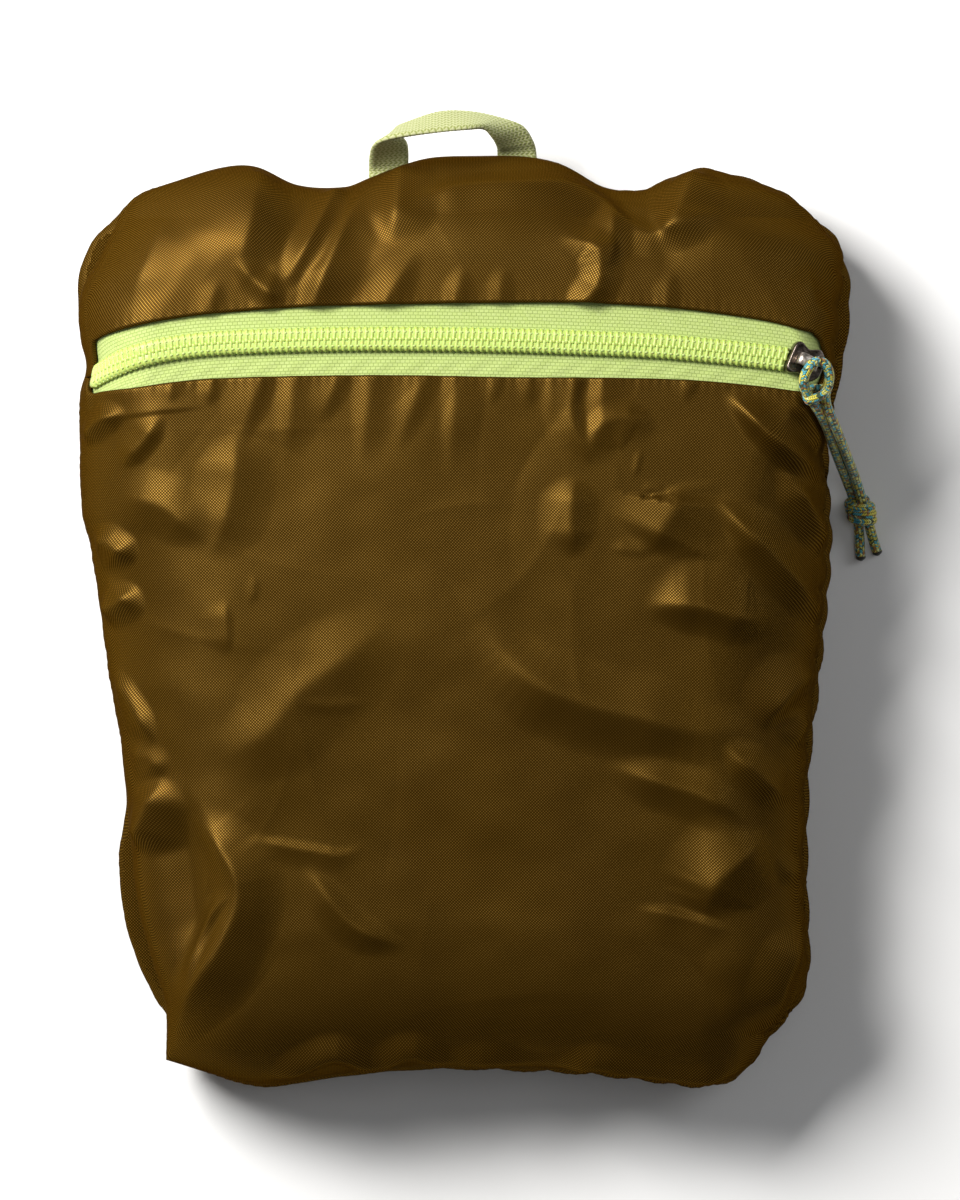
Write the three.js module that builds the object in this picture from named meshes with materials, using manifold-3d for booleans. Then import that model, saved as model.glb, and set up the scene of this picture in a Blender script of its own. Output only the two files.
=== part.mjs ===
import * as THREE from "three";
import { mergeVertices } from "three/addons/utils/BufferGeometryUtils.js";
import Module from "manifold-3d";

// A backpack packed into its own zip pocket, lying on its back.
// +X runs to the right, +Y towards the grab loop and +Z up, away from the surface it lies on.

// Driving dimensions, in millimetres
const POUCH_WIDTH = 194;
const POUCH_LENGTH = 232.7;
const POUCH_THICKNESS = 53;
const WIDEST_HEIGHT = 22;
const SEAM_HEIGHT = 18;
const WALL = 1.2;
const GAP = 0.3;

// How far each edge takes to roll over from upright to flat
const SIDE_ROLL = 32;
const BOTTOM_ROLL = 38;
const TOP_ROLL = 26;
const CROWN_SAG = 5;

// Folds are worked out from a height and a width, and each table row holds a share of both
const FOLD_HEIGHT = 5;
const FOLD_WIDTH = 10;
const PUCKER_HEIGHT = 1;
const PUCKER_LENGTH = 14;
const PUCKER_WIDTH = 4;

// The panels turn under the widest line to the seam
const HEM_TUCK = 1.5;

// The back of the pouch
const BACK_WIDEST_HEIGHT = 13.5;
const BACK_ROLL = 24;
const LAYER_PEEK = 4;

// The zip lies in an opening that closes a little way in from each side
const TAPE_VISIBLE = 17.8;
const OPENING_LEFT = 2;
const OPENING_RIGHT = 2.3;
const OPENING_LEFT_ROUND = 1.6;
const OPENING_RIGHT_ROUND = 5;
const TAPE_TUCK = 3;
const TAPE_DROP = 0.6;
const TAPE_THICKNESS = 0.8;
const COIL_WIDTH = 6;
const COIL_HEIGHT = 1.8;

// The slider
const SLIDER_LENGTH = 9;
const SLIDER_WIDTH = 8;
const SLIDER_WAIST = 6.2;
const SLIDER_PLATE = 1;
const BAIL_WIDTH = 3.2;
const BAIL_RISE = 2;
const BAIL_BAR = 0.9;
const SLIDER_TURN = -10;

// The grab loop
const WEBBING_WIDTH = 9.8;
const WEBBING_THICKNESS = 1.4;
const LOOP_SPAN = 42;
const LOOP_RISE = 11.5;
const LOOP_CENTRE_SHARE = -0.03;
const LEG_HEIGHT = 17;

// The pull cord and its knot
const CORD_DIAMETER = 2.5;
const KNOT_WRAP = 2.6;

// The folded body inside
const BODY_CLEARANCE = 4.5;
const BODY_INSET = 9.5;

const HALF_WIDTH = POUCH_WIDTH / 2;
const HALF_LENGTH = POUCH_LENGTH / 2;
const ZIP_HALF = TAPE_VISIBLE / 2;
const TAPE_DEPTH = WALL + GAP;

// Outlines, as shares of half the length along Y and half the width along X.
// roll is the share of SIDE_ROLL that the edge takes there.
const LEFT_SIDE = [
  { at: -0.94, out: 0.769, roll: 0.5 },
  { at: -0.833, out: 0.769, roll: 0.7 },
  { at: -0.779, out: 0.785, roll: 0.8 },
  { at: -0.704, out: 0.813, roll: 0.9 },
  { at: -0.596, out: 0.844, roll: 1.0 },
  { at: -0.36, out: 0.872, roll: 1.1 },
  { at: -0.242, out: 0.888, roll: 1.1 },
  { at: -0.124, out: 0.914, roll: 1.1 },
  { at: 0.048, out: 0.942, roll: 1.1 },
  { at: 0.167, out: 0.965, roll: 1.0 },
  { at: 0.242, out: 0.986, roll: 0.9 },
  { at: 0.392, out: 0.991, roll: 0.8 },
  { at: 0.489, out: 0.99, roll: 0.6 },
  { at: 0.553, out: 0.974, roll: 0.55 },
  { at: 0.61, out: 0.99, roll: 0.6 },
  { at: 0.66, out: 0.994, roll: 0.7 },
  { at: 0.714, out: 0.986, roll: 0.8 },
  { at: 0.794, out: 0.934, roll: 0.8 },
  { at: 0.865, out: 0.893, roll: 0.8 },
];
const RIGHT_SIDE = [
  { at: -0.886, out: 0.79, roll: 0.6 },
  { at: -0.843, out: 0.836, roll: 0.7 },
  { at: -0.79, out: 0.872, roll: 0.8 },
  { at: -0.725, out: 0.884, roll: 0.8 },
  { at: -0.532, out: 0.875, roll: 0.8 },
  { at: -0.295, out: 0.88, roll: 0.8 },
  { at: -0.177, out: 0.896, roll: 0.9 },
  { at: 0.048, out: 0.924, roll: 0.9 },
  { at: 0.177, out: 0.934, roll: 0.8 },
  { at: 0.349, out: 0.926, roll: 0.6 },
  { at: 0.478, out: 0.945, roll: 0.32 },
  { at: 0.543, out: 0.953, roll: 0.28 },
  { at: 0.596, out: 0.958, roll: 0.32 },
  { at: 0.693, out: 0.967, roll: 0.6 },
  { at: 0.757, out: 0.976, roll: 0.8 },
  { at: 0.82, out: 0.957, roll: 0.8 },
  { at: 0.865, out: 0.903, roll: 0.8 },
];
const BOTTOM_EDGE = [
  { at: 0, up: -0.94 },
  { at: 0.122, up: -0.987 },
  { at: 0.172, up: -0.994 },
  { at: 0.271, up: -0.974 },
  { at: 0.387, up: -0.957 },
  { at: 0.486, up: -0.953 },
  { at: 0.668, up: -0.962 },
  { at: 0.783, up: -0.979 },
  { at: 0.883, up: -0.996 },
  { at: 0.94, up: -0.979 },
  { at: 0.969, up: -0.944 },
  { at: 1, up: -0.886 },
];
const TOP_EDGE = [
  { at: 0, up: 0.865 },
  { at: 0.03, up: 0.916 },
  { at: 0.085, up: 0.949 },
  { at: 0.154, up: 0.979 },
  { at: 0.199, up: 0.979 },
  { at: 0.258, up: 0.94 },
  { at: 0.326, up: 0.936 },
  { at: 0.362, up: 0.955 },
  { at: 0.405, up: 0.981 },
  { at: 0.448, up: 0.998 },
  { at: 0.519, up: 1 },
  { at: 0.591, up: 0.998 },
  { at: 0.634, up: 0.983 },
  { at: 0.696, up: 0.934 },
  { at: 0.756, up: 0.927 },
  { at: 0.785, up: 0.949 },
  { at: 0.835, up: 0.974 },
  { at: 0.892, up: 0.957 },
  { at: 0.95, up: 0.927 },
  { at: 0.978, up: 0.895 },
  { at: 1, up: 0.865 },
];
// The coil's middle line, with the height of the opening on either side of it as shares of ZIP_HALF
const ZIP_LINE = [
  { at: 0.013, up: 0.525, above: 0.95, below: 0.48 },
  { at: 0.026, up: 0.538, above: 0.91, below: 0.6 },
  { at: 0.04, up: 0.549, above: 0.88, below: 0.71 },
  { at: 0.073, up: 0.567, above: 0.82, below: 0.88 },
  { at: 0.12, up: 0.583, above: 0.8, below: 0.95 },
  { at: 0.173, up: 0.593, above: 0.82, below: 0.97 },
  { at: 0.293, up: 0.601, above: 0.91, below: 1 },
  { at: 0.426, up: 0.603, above: 0.96, below: 1.01 },
  { at: 0.56, up: 0.6, above: 1.04, below: 1.02 },
  { at: 0.66, up: 0.595, above: 1.1, below: 0.97 },
  { at: 0.76, up: 0.588, above: 1.09, below: 0.9 },
  { at: 0.827, up: 0.579, above: 1.06, below: 0.85 },
  { at: 0.893, up: 0.568, above: 1, below: 0.83 },
  { at: 0.93, up: 0.56, above: 0.94, below: 0.82 },
  { at: 0.987, up: 0.545, above: 0.85, below: 0.8 },
];

// How far the back stands out past the front, as shares of LAYER_PEEK
const LEFT_PEEK = [
  { at: -0.94, by: 0 },
  { at: -0.85, by: 0.05 },
  { at: -0.8, by: 0.65 },
  { at: -0.704, by: 1.1 },
  { at: -0.596, by: 1.2 },
  { at: -0.482, by: 1 },
  { at: -0.43, by: 0.5 },
  { at: -0.38, by: 0.1 },
  { at: 0.48, by: 0.1 },
  { at: 0.68, by: 0.15 },
  { at: 0.753, by: 0.87 },
  { at: 0.8, by: 1 },
  { at: 0.865, by: 0.3 },
];
const RIGHT_PEEK = [
  { at: -0.886, by: 0 },
  { at: -0.7, by: 0.2 },
  { at: 0.2, by: 0.25 },
  { at: 0.478, by: 0.35 },
  { at: 0.596, by: 0.85 },
  { at: 0.693, by: 0.85 },
  { at: 0.757, by: 0.25 },
  { at: 0.865, by: 0 },
];
const BOTTOM_PEEK = [
  { at: 0, by: 0 },
  { at: 0.2, by: 0.25 },
  { at: 0.6, by: 0.2 },
  { at: 1, by: 0 },
];
const TOP_PEEK = [
  { at: 0, by: 0.3 },
  { at: 0.1, by: 0 },
  { at: 1, by: 0 },
];

// Folds and dents run from one point to another. Places are shares of half the width and half the length,
// lift is a share of FOLD_HEIGHT and wide a share of FOLD_WIDTH.
const FRONT_FOLDS = [
  { x0: -0.78, y0: -0.4, x1: -0.71, y1: -0.6, lift: -1.15, wide: 0.9 },
  { x0: -0.71, y0: -0.6, x1: -0.73, y1: -0.74, lift: -0.9, wide: 0.8 },
  { x0: -0.66, y0: -0.47, x1: -0.58, y1: -0.58, lift: 0.3, wide: 0.5 },
  { x0: -0.58, y0: -0.58, x1: -0.69, y1: -0.78, lift: 0.3, wide: 0.5 },
  { x0: -0.94, y0: 0.14, x1: -0.86, y1: 0.14, lift: -0.5, wide: 0.6 },
  { x0: -0.96, y0: 0.42, x1: -0.86, y1: 0.44, lift: -0.4, wide: 0.5 },
  { x0: -0.89, y0: -0.17, x1: -0.8, y1: -0.26, lift: -0.45, wide: 0.7 },
  { x0: 0.68, y0: 0.47, x1: 0.92, y1: 0.33, lift: 0.3, wide: 0.6 },
  { x0: 0.66, y0: 0.26, x1: 0.92, y1: 0.08, lift: -0.5, wide: 0.9 },
  { x0: 0.62, y0: 0.23, x1: 0.92, y1: 0.01, lift: 0.35, wide: 0.5 },
  { x0: 0.6, y0: -0.03, x1: 0.87, y1: -0.03, lift: -0.35, wide: 0.8 },
  { x0: 0.37, y0: -0.31, x1: 0.74, y1: -0.43, lift: 0.3, wide: 0.7 },
  { x0: 0.68, y0: -0.6, x1: 0.84, y1: -0.62, lift: -0.6, wide: 1.4 },
  { x0: -0.55, y0: -0.53, x1: 0, y1: -0.57, lift: 0.25, wide: 0.9 },
  { x0: -0.3, y0: -0.94, x1: 0.3, y1: -0.94, lift: 0.3, wide: 0.4 },
];
const TOP_FOLDS = [
  { x0: -0.29, y0: 0.92, x1: -0.42, y1: 0.76, lift: -0.6, wide: 0.8 },
  { x0: -0.15, y0: 0.93, x1: 0.25, y1: 0.93, lift: 0.6, wide: 1.8 },
  { x0: 0.37, y0: 0.92, x1: 0.47, y1: 0.84, lift: -0.7, wide: 0.8 },
  { x0: 0.47, y0: 0.84, x1: 0.58, y1: 0.9, lift: -0.5, wide: 0.7 },
  { x0: -0.62, y0: 0.95, x1: -0.55, y1: 0.95, lift: 0.4, wide: 1.5 },
  { x0: 0.62, y0: 0.95, x1: 0.72, y1: 0.93, lift: 0.4, wide: 1.5 },
];

// Small gathers that start at the zip, by their place across and their share of PUCKER_LENGTH
const FRONT_PUCKERS = [
  { at: 0.19, reach: 0.8 },
  { at: 0.25, reach: 1.2 },
  { at: 0.37, reach: 1.4 },
  { at: 0.49, reach: 1.5 },
  { at: 0.63, reach: 1 },
  { at: 0.68, reach: 2.6 },
  { at: 0.84, reach: 0.9 },
];
const TOP_PUCKERS = [
  { at: 0.17, reach: 0.8 },
  { at: 0.29, reach: 1.1 },
  { at: 0.41, reach: 1.3 },
  { at: 0.5, reach: 0.8 },
  { at: 0.55, reach: 0.9 },
  { at: 0.65, reach: 1.6 },
];

// Smooth value of one column of a table: a cubic through its rows, in the order of at
function follow(rows, column, at) {
  const last = rows.length - 1;
  const place = Math.min(Math.max(at, rows[0].at), rows[last].at);
  let i = 0;
  while (i < last - 1 && rows[i + 1].at < place) {
    i += 1;
  }
  const slope = (k) => {
    const before = rows[Math.max(k - 1, 0)];
    const after = rows[Math.min(k + 1, last)];
    return (after[column] - before[column]) / (after.at - before.at);
  };
  const run = rows[i + 1].at - rows[i].at;
  const s = (place - rows[i].at) / run;
  return (
    rows[i][column] * (1 + 2 * s) * (1 - s) ** 2 +
    rows[i + 1][column] * s * s * (3 - 2 * s) +
    slope(i) * run * s * (1 - s) ** 2 -
    slope(i + 1) * run * s * s * (1 - s)
  );
}

// Steps from 0 to 1 that lie closer together towards both ends
function spread(steps, crowding) {
  return Array.from({ length: steps + 1 }, (_, i) => {
    const even = i / steps;
    return (1 - crowding) * even + (crowding * (1 - Math.cos(Math.PI * even))) / 2;
  });
}

const leftAt = (y) => -HALF_WIDTH * follow(LEFT_SIDE, "out", y / HALF_LENGTH);
const rightAt = (y) => HALF_WIDTH * follow(RIGHT_SIDE, "out", y / HALF_LENGTH);
const bottomAt = (u) => HALF_LENGTH * follow(BOTTOM_EDGE, "up", u);
const topAt = (u) => HALF_LENGTH * follow(TOP_EDGE, "up", u);
const zipAt = (u) => HALF_LENGTH * follow(ZIP_LINE, "up", u);

// How upright an edge still is: 0 on the outline and 1 once the surface has rolled over to flat
function rolled(distance, roll) {
  const left = 1 - Math.min(Math.max(distance / roll, 0), 1);
  return Math.sqrt(1 - left * left);
}

// How far the opening reaches from the coil's middle line, above it where side is 1 and below it where side is -1
function openingReach(u, side) {
  return ZIP_HALF * follow(ZIP_LINE, side > 0 ? "above" : "below", u);
}

// The edge of a panel along the opening, which is square at the left end and rounded at the right
function openingEdge(u, side) {
  const width = rightAt(zipAt(u)) - leftAt(zipAt(u));
  const leftEnd = rolled(u * width - OPENING_LEFT, OPENING_LEFT_ROUND);
  const rightEnd = rolled((1 - u) * width - OPENING_RIGHT, OPENING_RIGHT_ROUND);
  return zipAt(u) + side * Math.max(openingReach(u, side) * leftEnd * rightEnd, GAP / 2);
}

// Distance beyond the opening's edge, on either side of the zip
function beyondOpening(u, y) {
  const fromMiddle = y - zipAt(u);
  return Math.abs(fromMiddle) - openingReach(u, fromMiddle);
}

// Distance from a point to the segment that a fold follows
function distanceToFold(x, y, fold) {
  const [ax, ay] = [fold.x0 * HALF_WIDTH, fold.y0 * HALF_LENGTH];
  const [bx, by] = [fold.x1 * HALF_WIDTH, fold.y1 * HALF_LENGTH];
  const along = ((x - ax) * (bx - ax) + (y - ay) * (by - ay)) / ((bx - ax) ** 2 + (by - ay) ** 2);
  const t = Math.min(Math.max(along, 0), 1);
  return Math.hypot(x - ax - t * (bx - ax), y - ay - t * (by - ay));
}

function foldLift(x, y, folds) {
  let lift = 0;
  for (const fold of folds) {
    const away = distanceToFold(x, y, fold) / (fold.wide * FOLD_WIDTH);
    lift += fold.lift * FOLD_HEIGHT * Math.exp(-away * away);
  }
  return lift;
}

function puckerLift(u, y, puckers) {
  const width = rightAt(y) - leftAt(y);
  const fromZip = Math.max(beyondOpening(u, y), 0);
  let lift = 0;
  for (const pucker of puckers) {
    const aside = ((u - pucker.at) * width) / PUCKER_WIDTH;
    const fade = Math.max(1 - fromZip / (pucker.reach * PUCKER_LENGTH), 0);
    lift += PUCKER_HEIGHT * fade * Math.exp(-aside * aside);
  }
  return lift;
}

// The stuffed outer form at share u across and height y: a flat-topped dome that rolls over at every edge
function shellPoint(u, y) {
  const left = leftAt(y);
  const width = rightAt(y) - left;
  const x = left + u * width;
  const leftRoll = SIDE_ROLL * follow(LEFT_SIDE, "roll", y / HALF_LENGTH);
  const rightRoll = SIDE_ROLL * follow(RIGHT_SIDE, "roll", y / HALF_LENGTH);
  const sides = rolled(u * width, leftRoll) * rolled((1 - u) * width, rightRoll);
  const ends = rolled(y - bottomAt(u), BOTTOM_ROLL) * rolled(topAt(u) - y, TOP_ROLL);
  const sag = CROWN_SAG * ((x / HALF_WIDTH) ** 2 + (y / HALF_LENGTH) ** 2);
  const rise = POUCH_THICKNESS - sag - WIDEST_HEIGHT;
  return new THREE.Vector3(x, y, WIDEST_HEIGHT + rise * sides * ends);
}

// Outward direction of the stuffed form
function shellNormal(u, y) {
  const du = 0.002;
  const dy = 0.4;
  const across = shellPoint(Math.min(u + du, 1), y).sub(shellPoint(Math.max(u - du, 0), y));
  const along = shellPoint(u, y + dy).sub(shellPoint(u, y - dy));
  return across.cross(along).normalize();
}

// A point that lies a depth below the stuffed form, or above it where the depth is negative
function sunkPoint(u, y, depth) {
  return shellPoint(u, y).addScaledVector(shellNormal(u, y), -depth);
}

// How much of a lift is left near an outline that has to stay where it is
function settleAtOutline(u, y) {
  const width = rightAt(y) - leftAt(y);
  const nearest = Math.min(u * width, (1 - u) * width, y - bottomAt(u), topAt(u) - y);
  return THREE.MathUtils.clamp(nearest / FOLD_WIDTH, 0, 1);
}

// How much of a fold is left near the zip, where the tape runs on under the panel
function settleAtZip(u, y) {
  return THREE.MathUtils.clamp(beyondOpening(u, y) / TAPE_TUCK - 1, 0, 1);
}

function panelPoint(u, y, folds, puckers) {
  const point = shellPoint(u, y);
  const lift = foldLift(point.x, y, folds) * settleAtZip(u, y) + puckerLift(u, y, puckers);
  point.z += lift * settleAtOutline(u, y);
  return point;
}

// Triangles for a grid of rows and columns whose vertices start at an offset
function gridFaces(rows, columns, offset = 0) {
  const faces = [];
  for (let r = 0; r + 1 < rows; r += 1) {
    for (let c = 0; c + 1 < columns; c += 1) {
      const a = offset + r * columns + c;
      faces.push([a, a + 1, a + columns + 1], [a, a + columns + 1, a + columns]);
    }
  }
  return faces;
}

function faceNormals(points, faces) {
  const normals = points.map(() => new THREE.Vector3());
  for (const [a, b, c] of faces) {
    const ab = points[b].clone().sub(points[a]);
    const ac = points[c].clone().sub(points[a]);
    const area = ab.cross(ac);
    for (const i of [a, b, c]) {
      normals[i].add(area);
    }
  }
  return normals.map((n) => n.normalize());
}

// Edges that only one triangle uses, in that triangle's direction
function openEdges(faces) {
  const seen = new Map();
  for (const [a, b, c] of faces) {
    for (const [p, q] of [[a, b], [b, c], [c, a]]) {
      const twin = `${q},${p}`;
      if (seen.has(twin)) {
        seen.delete(twin);
      } else {
        seen.set(`${p},${q}`, [p, q]);
      }
    }
  }
  return [...seen.values()];
}

function solidGeometry(points, faces) {
  const geometry = new THREE.BufferGeometry();
  geometry.setAttribute("position", new THREE.Float32BufferAttribute(points.flatMap((p) => p.toArray()), 3));
  geometry.setIndex(faces.flat());
  geometry.computeVertexNormals();
  return geometry;
}

// A cloth wall: the outer surface, the same surface moved inwards by the wall, and a rim between their edges
function clothWall(points, faces, wall) {
  const normals = faceNormals(points, faces);
  const count = points.length;
  const inner = points.map((p, i) => p.clone().addScaledVector(normals[i], -wall));
  const all = [...faces];
  for (const [a, b, c] of faces) {
    all.push([a + count, c + count, b + count]);
  }
  for (const [a, b] of openEdges(faces)) {
    all.push([b, a, a + count], [b, a + count, b + count]);
  }
  return solidGeometry([...points, ...inner], all);
}

// The hem carries a panel's outline on below its widest line, down and in to the seam
function addHem(points, faces, path) {
  const drop = WIDEST_HEIGHT - SEAM_HEIGHT;
  const centre = new THREE.Vector3();
  let above = path;
  for (const angle of [45, 90]) {
    const turn = THREE.MathUtils.degToRad(angle);
    const ring = path.map((i) => {
      const inwards = centre.clone().sub(points[i]).setZ(0).normalize();
      const point = points[i].clone().addScaledVector(inwards, HEM_TUCK * (1 - Math.cos(turn)));
      point.z = WIDEST_HEIGHT - drop * Math.sin(turn);
      return points.push(point) - 1;
    });
    for (let k = 0; k + 1 < path.length; k += 1) {
      faces.push([above[k], ring[k], ring[k + 1]], [above[k], ring[k + 1], above[k + 1]]);
    }
    above = ring;
  }
}

// One main panel on a grid between the zip and the far edge, with its hem round the three outer sides
function panelGeometry({ columns, rows, crowding, from, to, folds, puckers, hemAtEnd }) {
  const points = [];
  const across = spread(columns, 0.75);
  for (const v of spread(rows, crowding)) {
    for (const u of across) {
      const y = THREE.MathUtils.lerp(from(u), to(u), v);
      points.push(panelPoint(u, y, folds, puckers));
    }
  }
  const wide = columns + 1;
  const faces = gridFaces(rows + 1, wide);
  const leftColumn = Array.from({ length: rows + 1 }, (_, r) => r * wide);
  const rightColumn = leftColumn.map((i) => i + columns);
  const firstRow = Array.from({ length: wide }, (_, c) => c);
  const lastRow = firstRow.map((i) => i + rows * wide);
  const path = hemAtEnd
    ? [...rightColumn, ...lastRow.reverse().slice(1), ...leftColumn.reverse().slice(1)]
    : [...leftColumn.reverse(), ...firstRow.slice(1), ...rightColumn.slice(1)];
  addHem(points, faces, path);
  return clothWall(points, faces, WALL);
}

// The outline of the stuffed form, counter-clockwise from its lower left corner
function outline(sideSteps, endSteps) {
  const ring = [];
  const add = (u, y, by) => ring.push({ point: shellPoint(u, y).setZ(0), peek: by * LAYER_PEEK });
  const step = (i, steps) => i / steps;
  for (let i = 0; i < endSteps; i += 1) {
    const u = step(i, endSteps);
    add(u, bottomAt(u), follow(BOTTOM_PEEK, "by", u));
  }
  for (let i = 0; i < sideSteps; i += 1) {
    const y = THREE.MathUtils.lerp(bottomAt(1), topAt(1), step(i, sideSteps));
    add(1, y, follow(RIGHT_PEEK, "by", y / HALF_LENGTH));
  }
  for (let i = 0; i < endSteps; i += 1) {
    const u = 1 - step(i, endSteps);
    add(u, topAt(u), follow(TOP_PEEK, "by", u));
  }
  for (let i = 0; i < sideSteps; i += 1) {
    const y = THREE.MathUtils.lerp(topAt(0), bottomAt(0), step(i, sideSteps));
    add(0, y, follow(LEFT_PEEK, "by", y / HALF_LENGTH));
  }
  return ring;
}

// Rings of points at the same directions, one inside the other, joined by triangles and closed by a centre
function ringFaces(rings, count, offset, outwards) {
  const faces = [];
  for (let r = 0; r + 1 < rings; r += 1) {
    for (let i = 0; i < count; i += 1) {
      const next = (i + 1) % count;
      const [a, b] = [offset + r * count + i, offset + r * count + next];
      const [c, d] = [a + count, b + count];
      faces.push(outwards ? [a, c, b] : [a, b, c], outwards ? [b, c, d] : [b, d, c]);
    }
  }
  return faces;
}

// The point of the outline moved towards the middle by an inset, at a height
function insetPoint(point, inset, height) {
  const reach = point.length();
  return point.clone().multiplyScalar((reach - inset) / reach).setZ(height);
}

function backGeometry() {
  const ring = outline(18, 20);
  const count = ring.length;
  const points = [];
  const rimHeight = SEAM_HEIGHT - GAP;
  const shoulder = (rimHeight + BACK_WIDEST_HEIGHT) / 2;
  ring.forEach(({ point }) => points.push(insetPoint(point, HEM_TUCK, rimHeight)));
  ring.forEach(({ point, peek }) => points.push(insetPoint(point, HEM_TUCK / 3 - 0.8 * peek, shoulder)));
  for (const angle of [0, 25, 48, 69, 90]) {
    const turn = THREE.MathUtils.degToRad(angle);
    const inset = BACK_ROLL * (1 - Math.cos(turn));
    const height = angle === 90 ? 0 : BACK_WIDEST_HEIGHT * (1 - Math.sin(turn));
    ring.forEach(({ point, peek }) => points.push(insetPoint(point, inset - peek * Math.cos(turn), height)));
  }
  const rings = points.length / count;
  const faces = ringFaces(rings, count, 0, true);
  const centre = points.push(new THREE.Vector3(0, 0, 0)) - 1;
  const inner = (rings - 1) * count;
  for (let i = 0; i < count; i += 1) {
    faces.push([inner + i, centre, inner + ((i + 1) % count)]);
  }
  return clothWall(points, faces, WALL);
}

// Share across the form at which a point lies
function shareAcross(x, y) {
  const left = leftAt(y);
  return THREE.MathUtils.clamp((x - left) / (rightAt(y) - left), 0, 1);
}

function bodyGeometry() {
  const ring = outline(11, 10);
  const count = ring.length;
  const points = [];
  const floor = WALL + GAP;
  const lower = [
    { inset: BACK_ROLL + BODY_CLEARANCE, height: floor },
    { inset: BACK_ROLL / 2 + BODY_CLEARANCE, height: floor + BODY_CLEARANCE },
    { inset: BODY_INSET - BODY_CLEARANCE / 2, height: BACK_WIDEST_HEIGHT },
    { inset: BODY_INSET, height: SEAM_HEIGHT },
  ];
  const upperInsets = [0.42, 0.75, 1.3, 2.1].map((share) => share * SIDE_ROLL);
  for (const { inset, height } of lower) {
    ring.forEach(({ point }) => points.push(insetPoint(point, inset, height)));
  }
  for (const inset of upperInsets) {
    ring.forEach(({ point }) => {
      const place = insetPoint(point, inset, 0);
      const surface = panelPoint(shareAcross(place.x, place.y), place.y, [...FRONT_FOLDS, ...TOP_FOLDS], []);
      points.push(place.setZ(surface.z - WALL - TAPE_THICKNESS - BODY_CLEARANCE));
    });
  }
  const rings = points.length / count;
  const faces = ringFaces(rings, count, 0, false);
  const bottom = points.push(new THREE.Vector3(0, 0, floor)) - 1;
  const crown = shellPoint(shareAcross(0, 0), 0).z - WALL - TAPE_THICKNESS - BODY_CLEARANCE;
  const top = points.push(new THREE.Vector3(0, 0, crown)) - 1;
  const last = (rings - 1) * count;
  for (let i = 0; i < count; i += 1) {
    const next = (i + 1) % count;
    faces.push([i, bottom, next], [last + i, last + next, top]);
  }
  return solidGeometry(points, faces);
}

// A solid with the same flat section at every station, closed by a fan at both ends
function sweptGeometry(stations) {
  const count = stations[0].length;
  const points = stations.flat();
  const faces = [];
  for (let s = 0; s + 1 < stations.length; s += 1) {
    for (let i = 0; i < count; i += 1) {
      const next = (i + 1) % count;
      const [a, b] = [s * count + i, s * count + next];
      faces.push([a, b, b + count], [a, b + count, a + count]);
    }
  }
  const end = (stations.length - 1) * count;
  for (let i = 1; i + 1 < count; i += 1) {
    faces.push([0, i + 1, i], [end, end + i, end + i + 1]);
  }
  return solidGeometry(points, faces);
}

const ZIP_START = 0.0165;
const ZIP_END = 0.99;
const SLIDER_AT = 0.956;
const ZIP_COLUMNS = spread(36, 0.6).map((s) => THREE.MathUtils.lerp(ZIP_START, ZIP_END, s));

// One half of the tape, from beside the middle line to under the panel's edge
function tapeGeometry(side) {
  const rows = [
    { away: () => GAP / 2, depth: TAPE_DEPTH },
    { away: () => COIL_WIDTH / 2, depth: TAPE_DEPTH },
    { away: (u) => openingReach(u, side) - GAP, depth: TAPE_DEPTH },
    { away: (u) => openingReach(u, side) + TAPE_TUCK, depth: TAPE_DEPTH + TAPE_DROP },
  ];
  const points = [];
  for (const { away, depth } of side > 0 ? rows : rows.reverse()) {
    for (const u of ZIP_COLUMNS) {
      points.push(sunkPoint(u, zipAt(u) + side * away(u), depth));
    }
  }
  return clothWall(points, gridFaces(rows.length, ZIP_COLUMNS.length), TAPE_THICKNESS);
}

// The coil's rounded section, across and above the tape
const COIL_SECTION = [
  { across: -0.5, up: 0 },
  { across: 0.5, up: 0 },
  { across: 0.5, up: 0.55 },
  { across: 0.36, up: 0.95 },
  { across: 0, up: 0.85 },
  { across: -0.36, up: 0.95 },
  { across: -0.5, up: 0.55 },
];

// The coil runs from the left end of the tape into the slider
function coilGeometry() {
  const intoSlider = SLIDER_AT - (0.64 * SLIDER_LENGTH) / POUCH_WIDTH;
  const columns = spread(34, 0.5).map((s) => THREE.MathUtils.lerp(ZIP_START + 0.004, intoSlider, s));
  const stations = columns.map((u) =>
    COIL_SECTION.map(({ across, up }) =>
      sunkPoint(u, zipAt(u) + across * COIL_WIDTH, TAPE_DEPTH - GAP - up * COIL_HEIGHT),
    ),
  );
  return sweptGeometry(stations);
}

// manifold-3d joins and cuts closed solids
const wasm = await Module();
wasm.setup();

function toSolid(geometry) {
  const bare = geometry.clone();
  bare.deleteAttribute("normal");
  bare.deleteAttribute("uv");
  const merged = mergeVertices(bare, 1e-4);
  return new wasm.Manifold(
    new wasm.Mesh({
      numProp: 3,
      vertProperties: new Float32Array(merged.attributes.position.array),
      triVerts: new Uint32Array(merged.index.array),
    }),
  );
}

function toGeometry(solid) {
  const mesh = solid.getMesh();
  const geometry = new THREE.BufferGeometry();
  geometry.setAttribute("position", new THREE.BufferAttribute(new Float32Array(mesh.vertProperties), 3));
  geometry.setIndex([...mesh.triVerts]);
  geometry.computeVertexNormals();
  return geometry;
}

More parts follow.
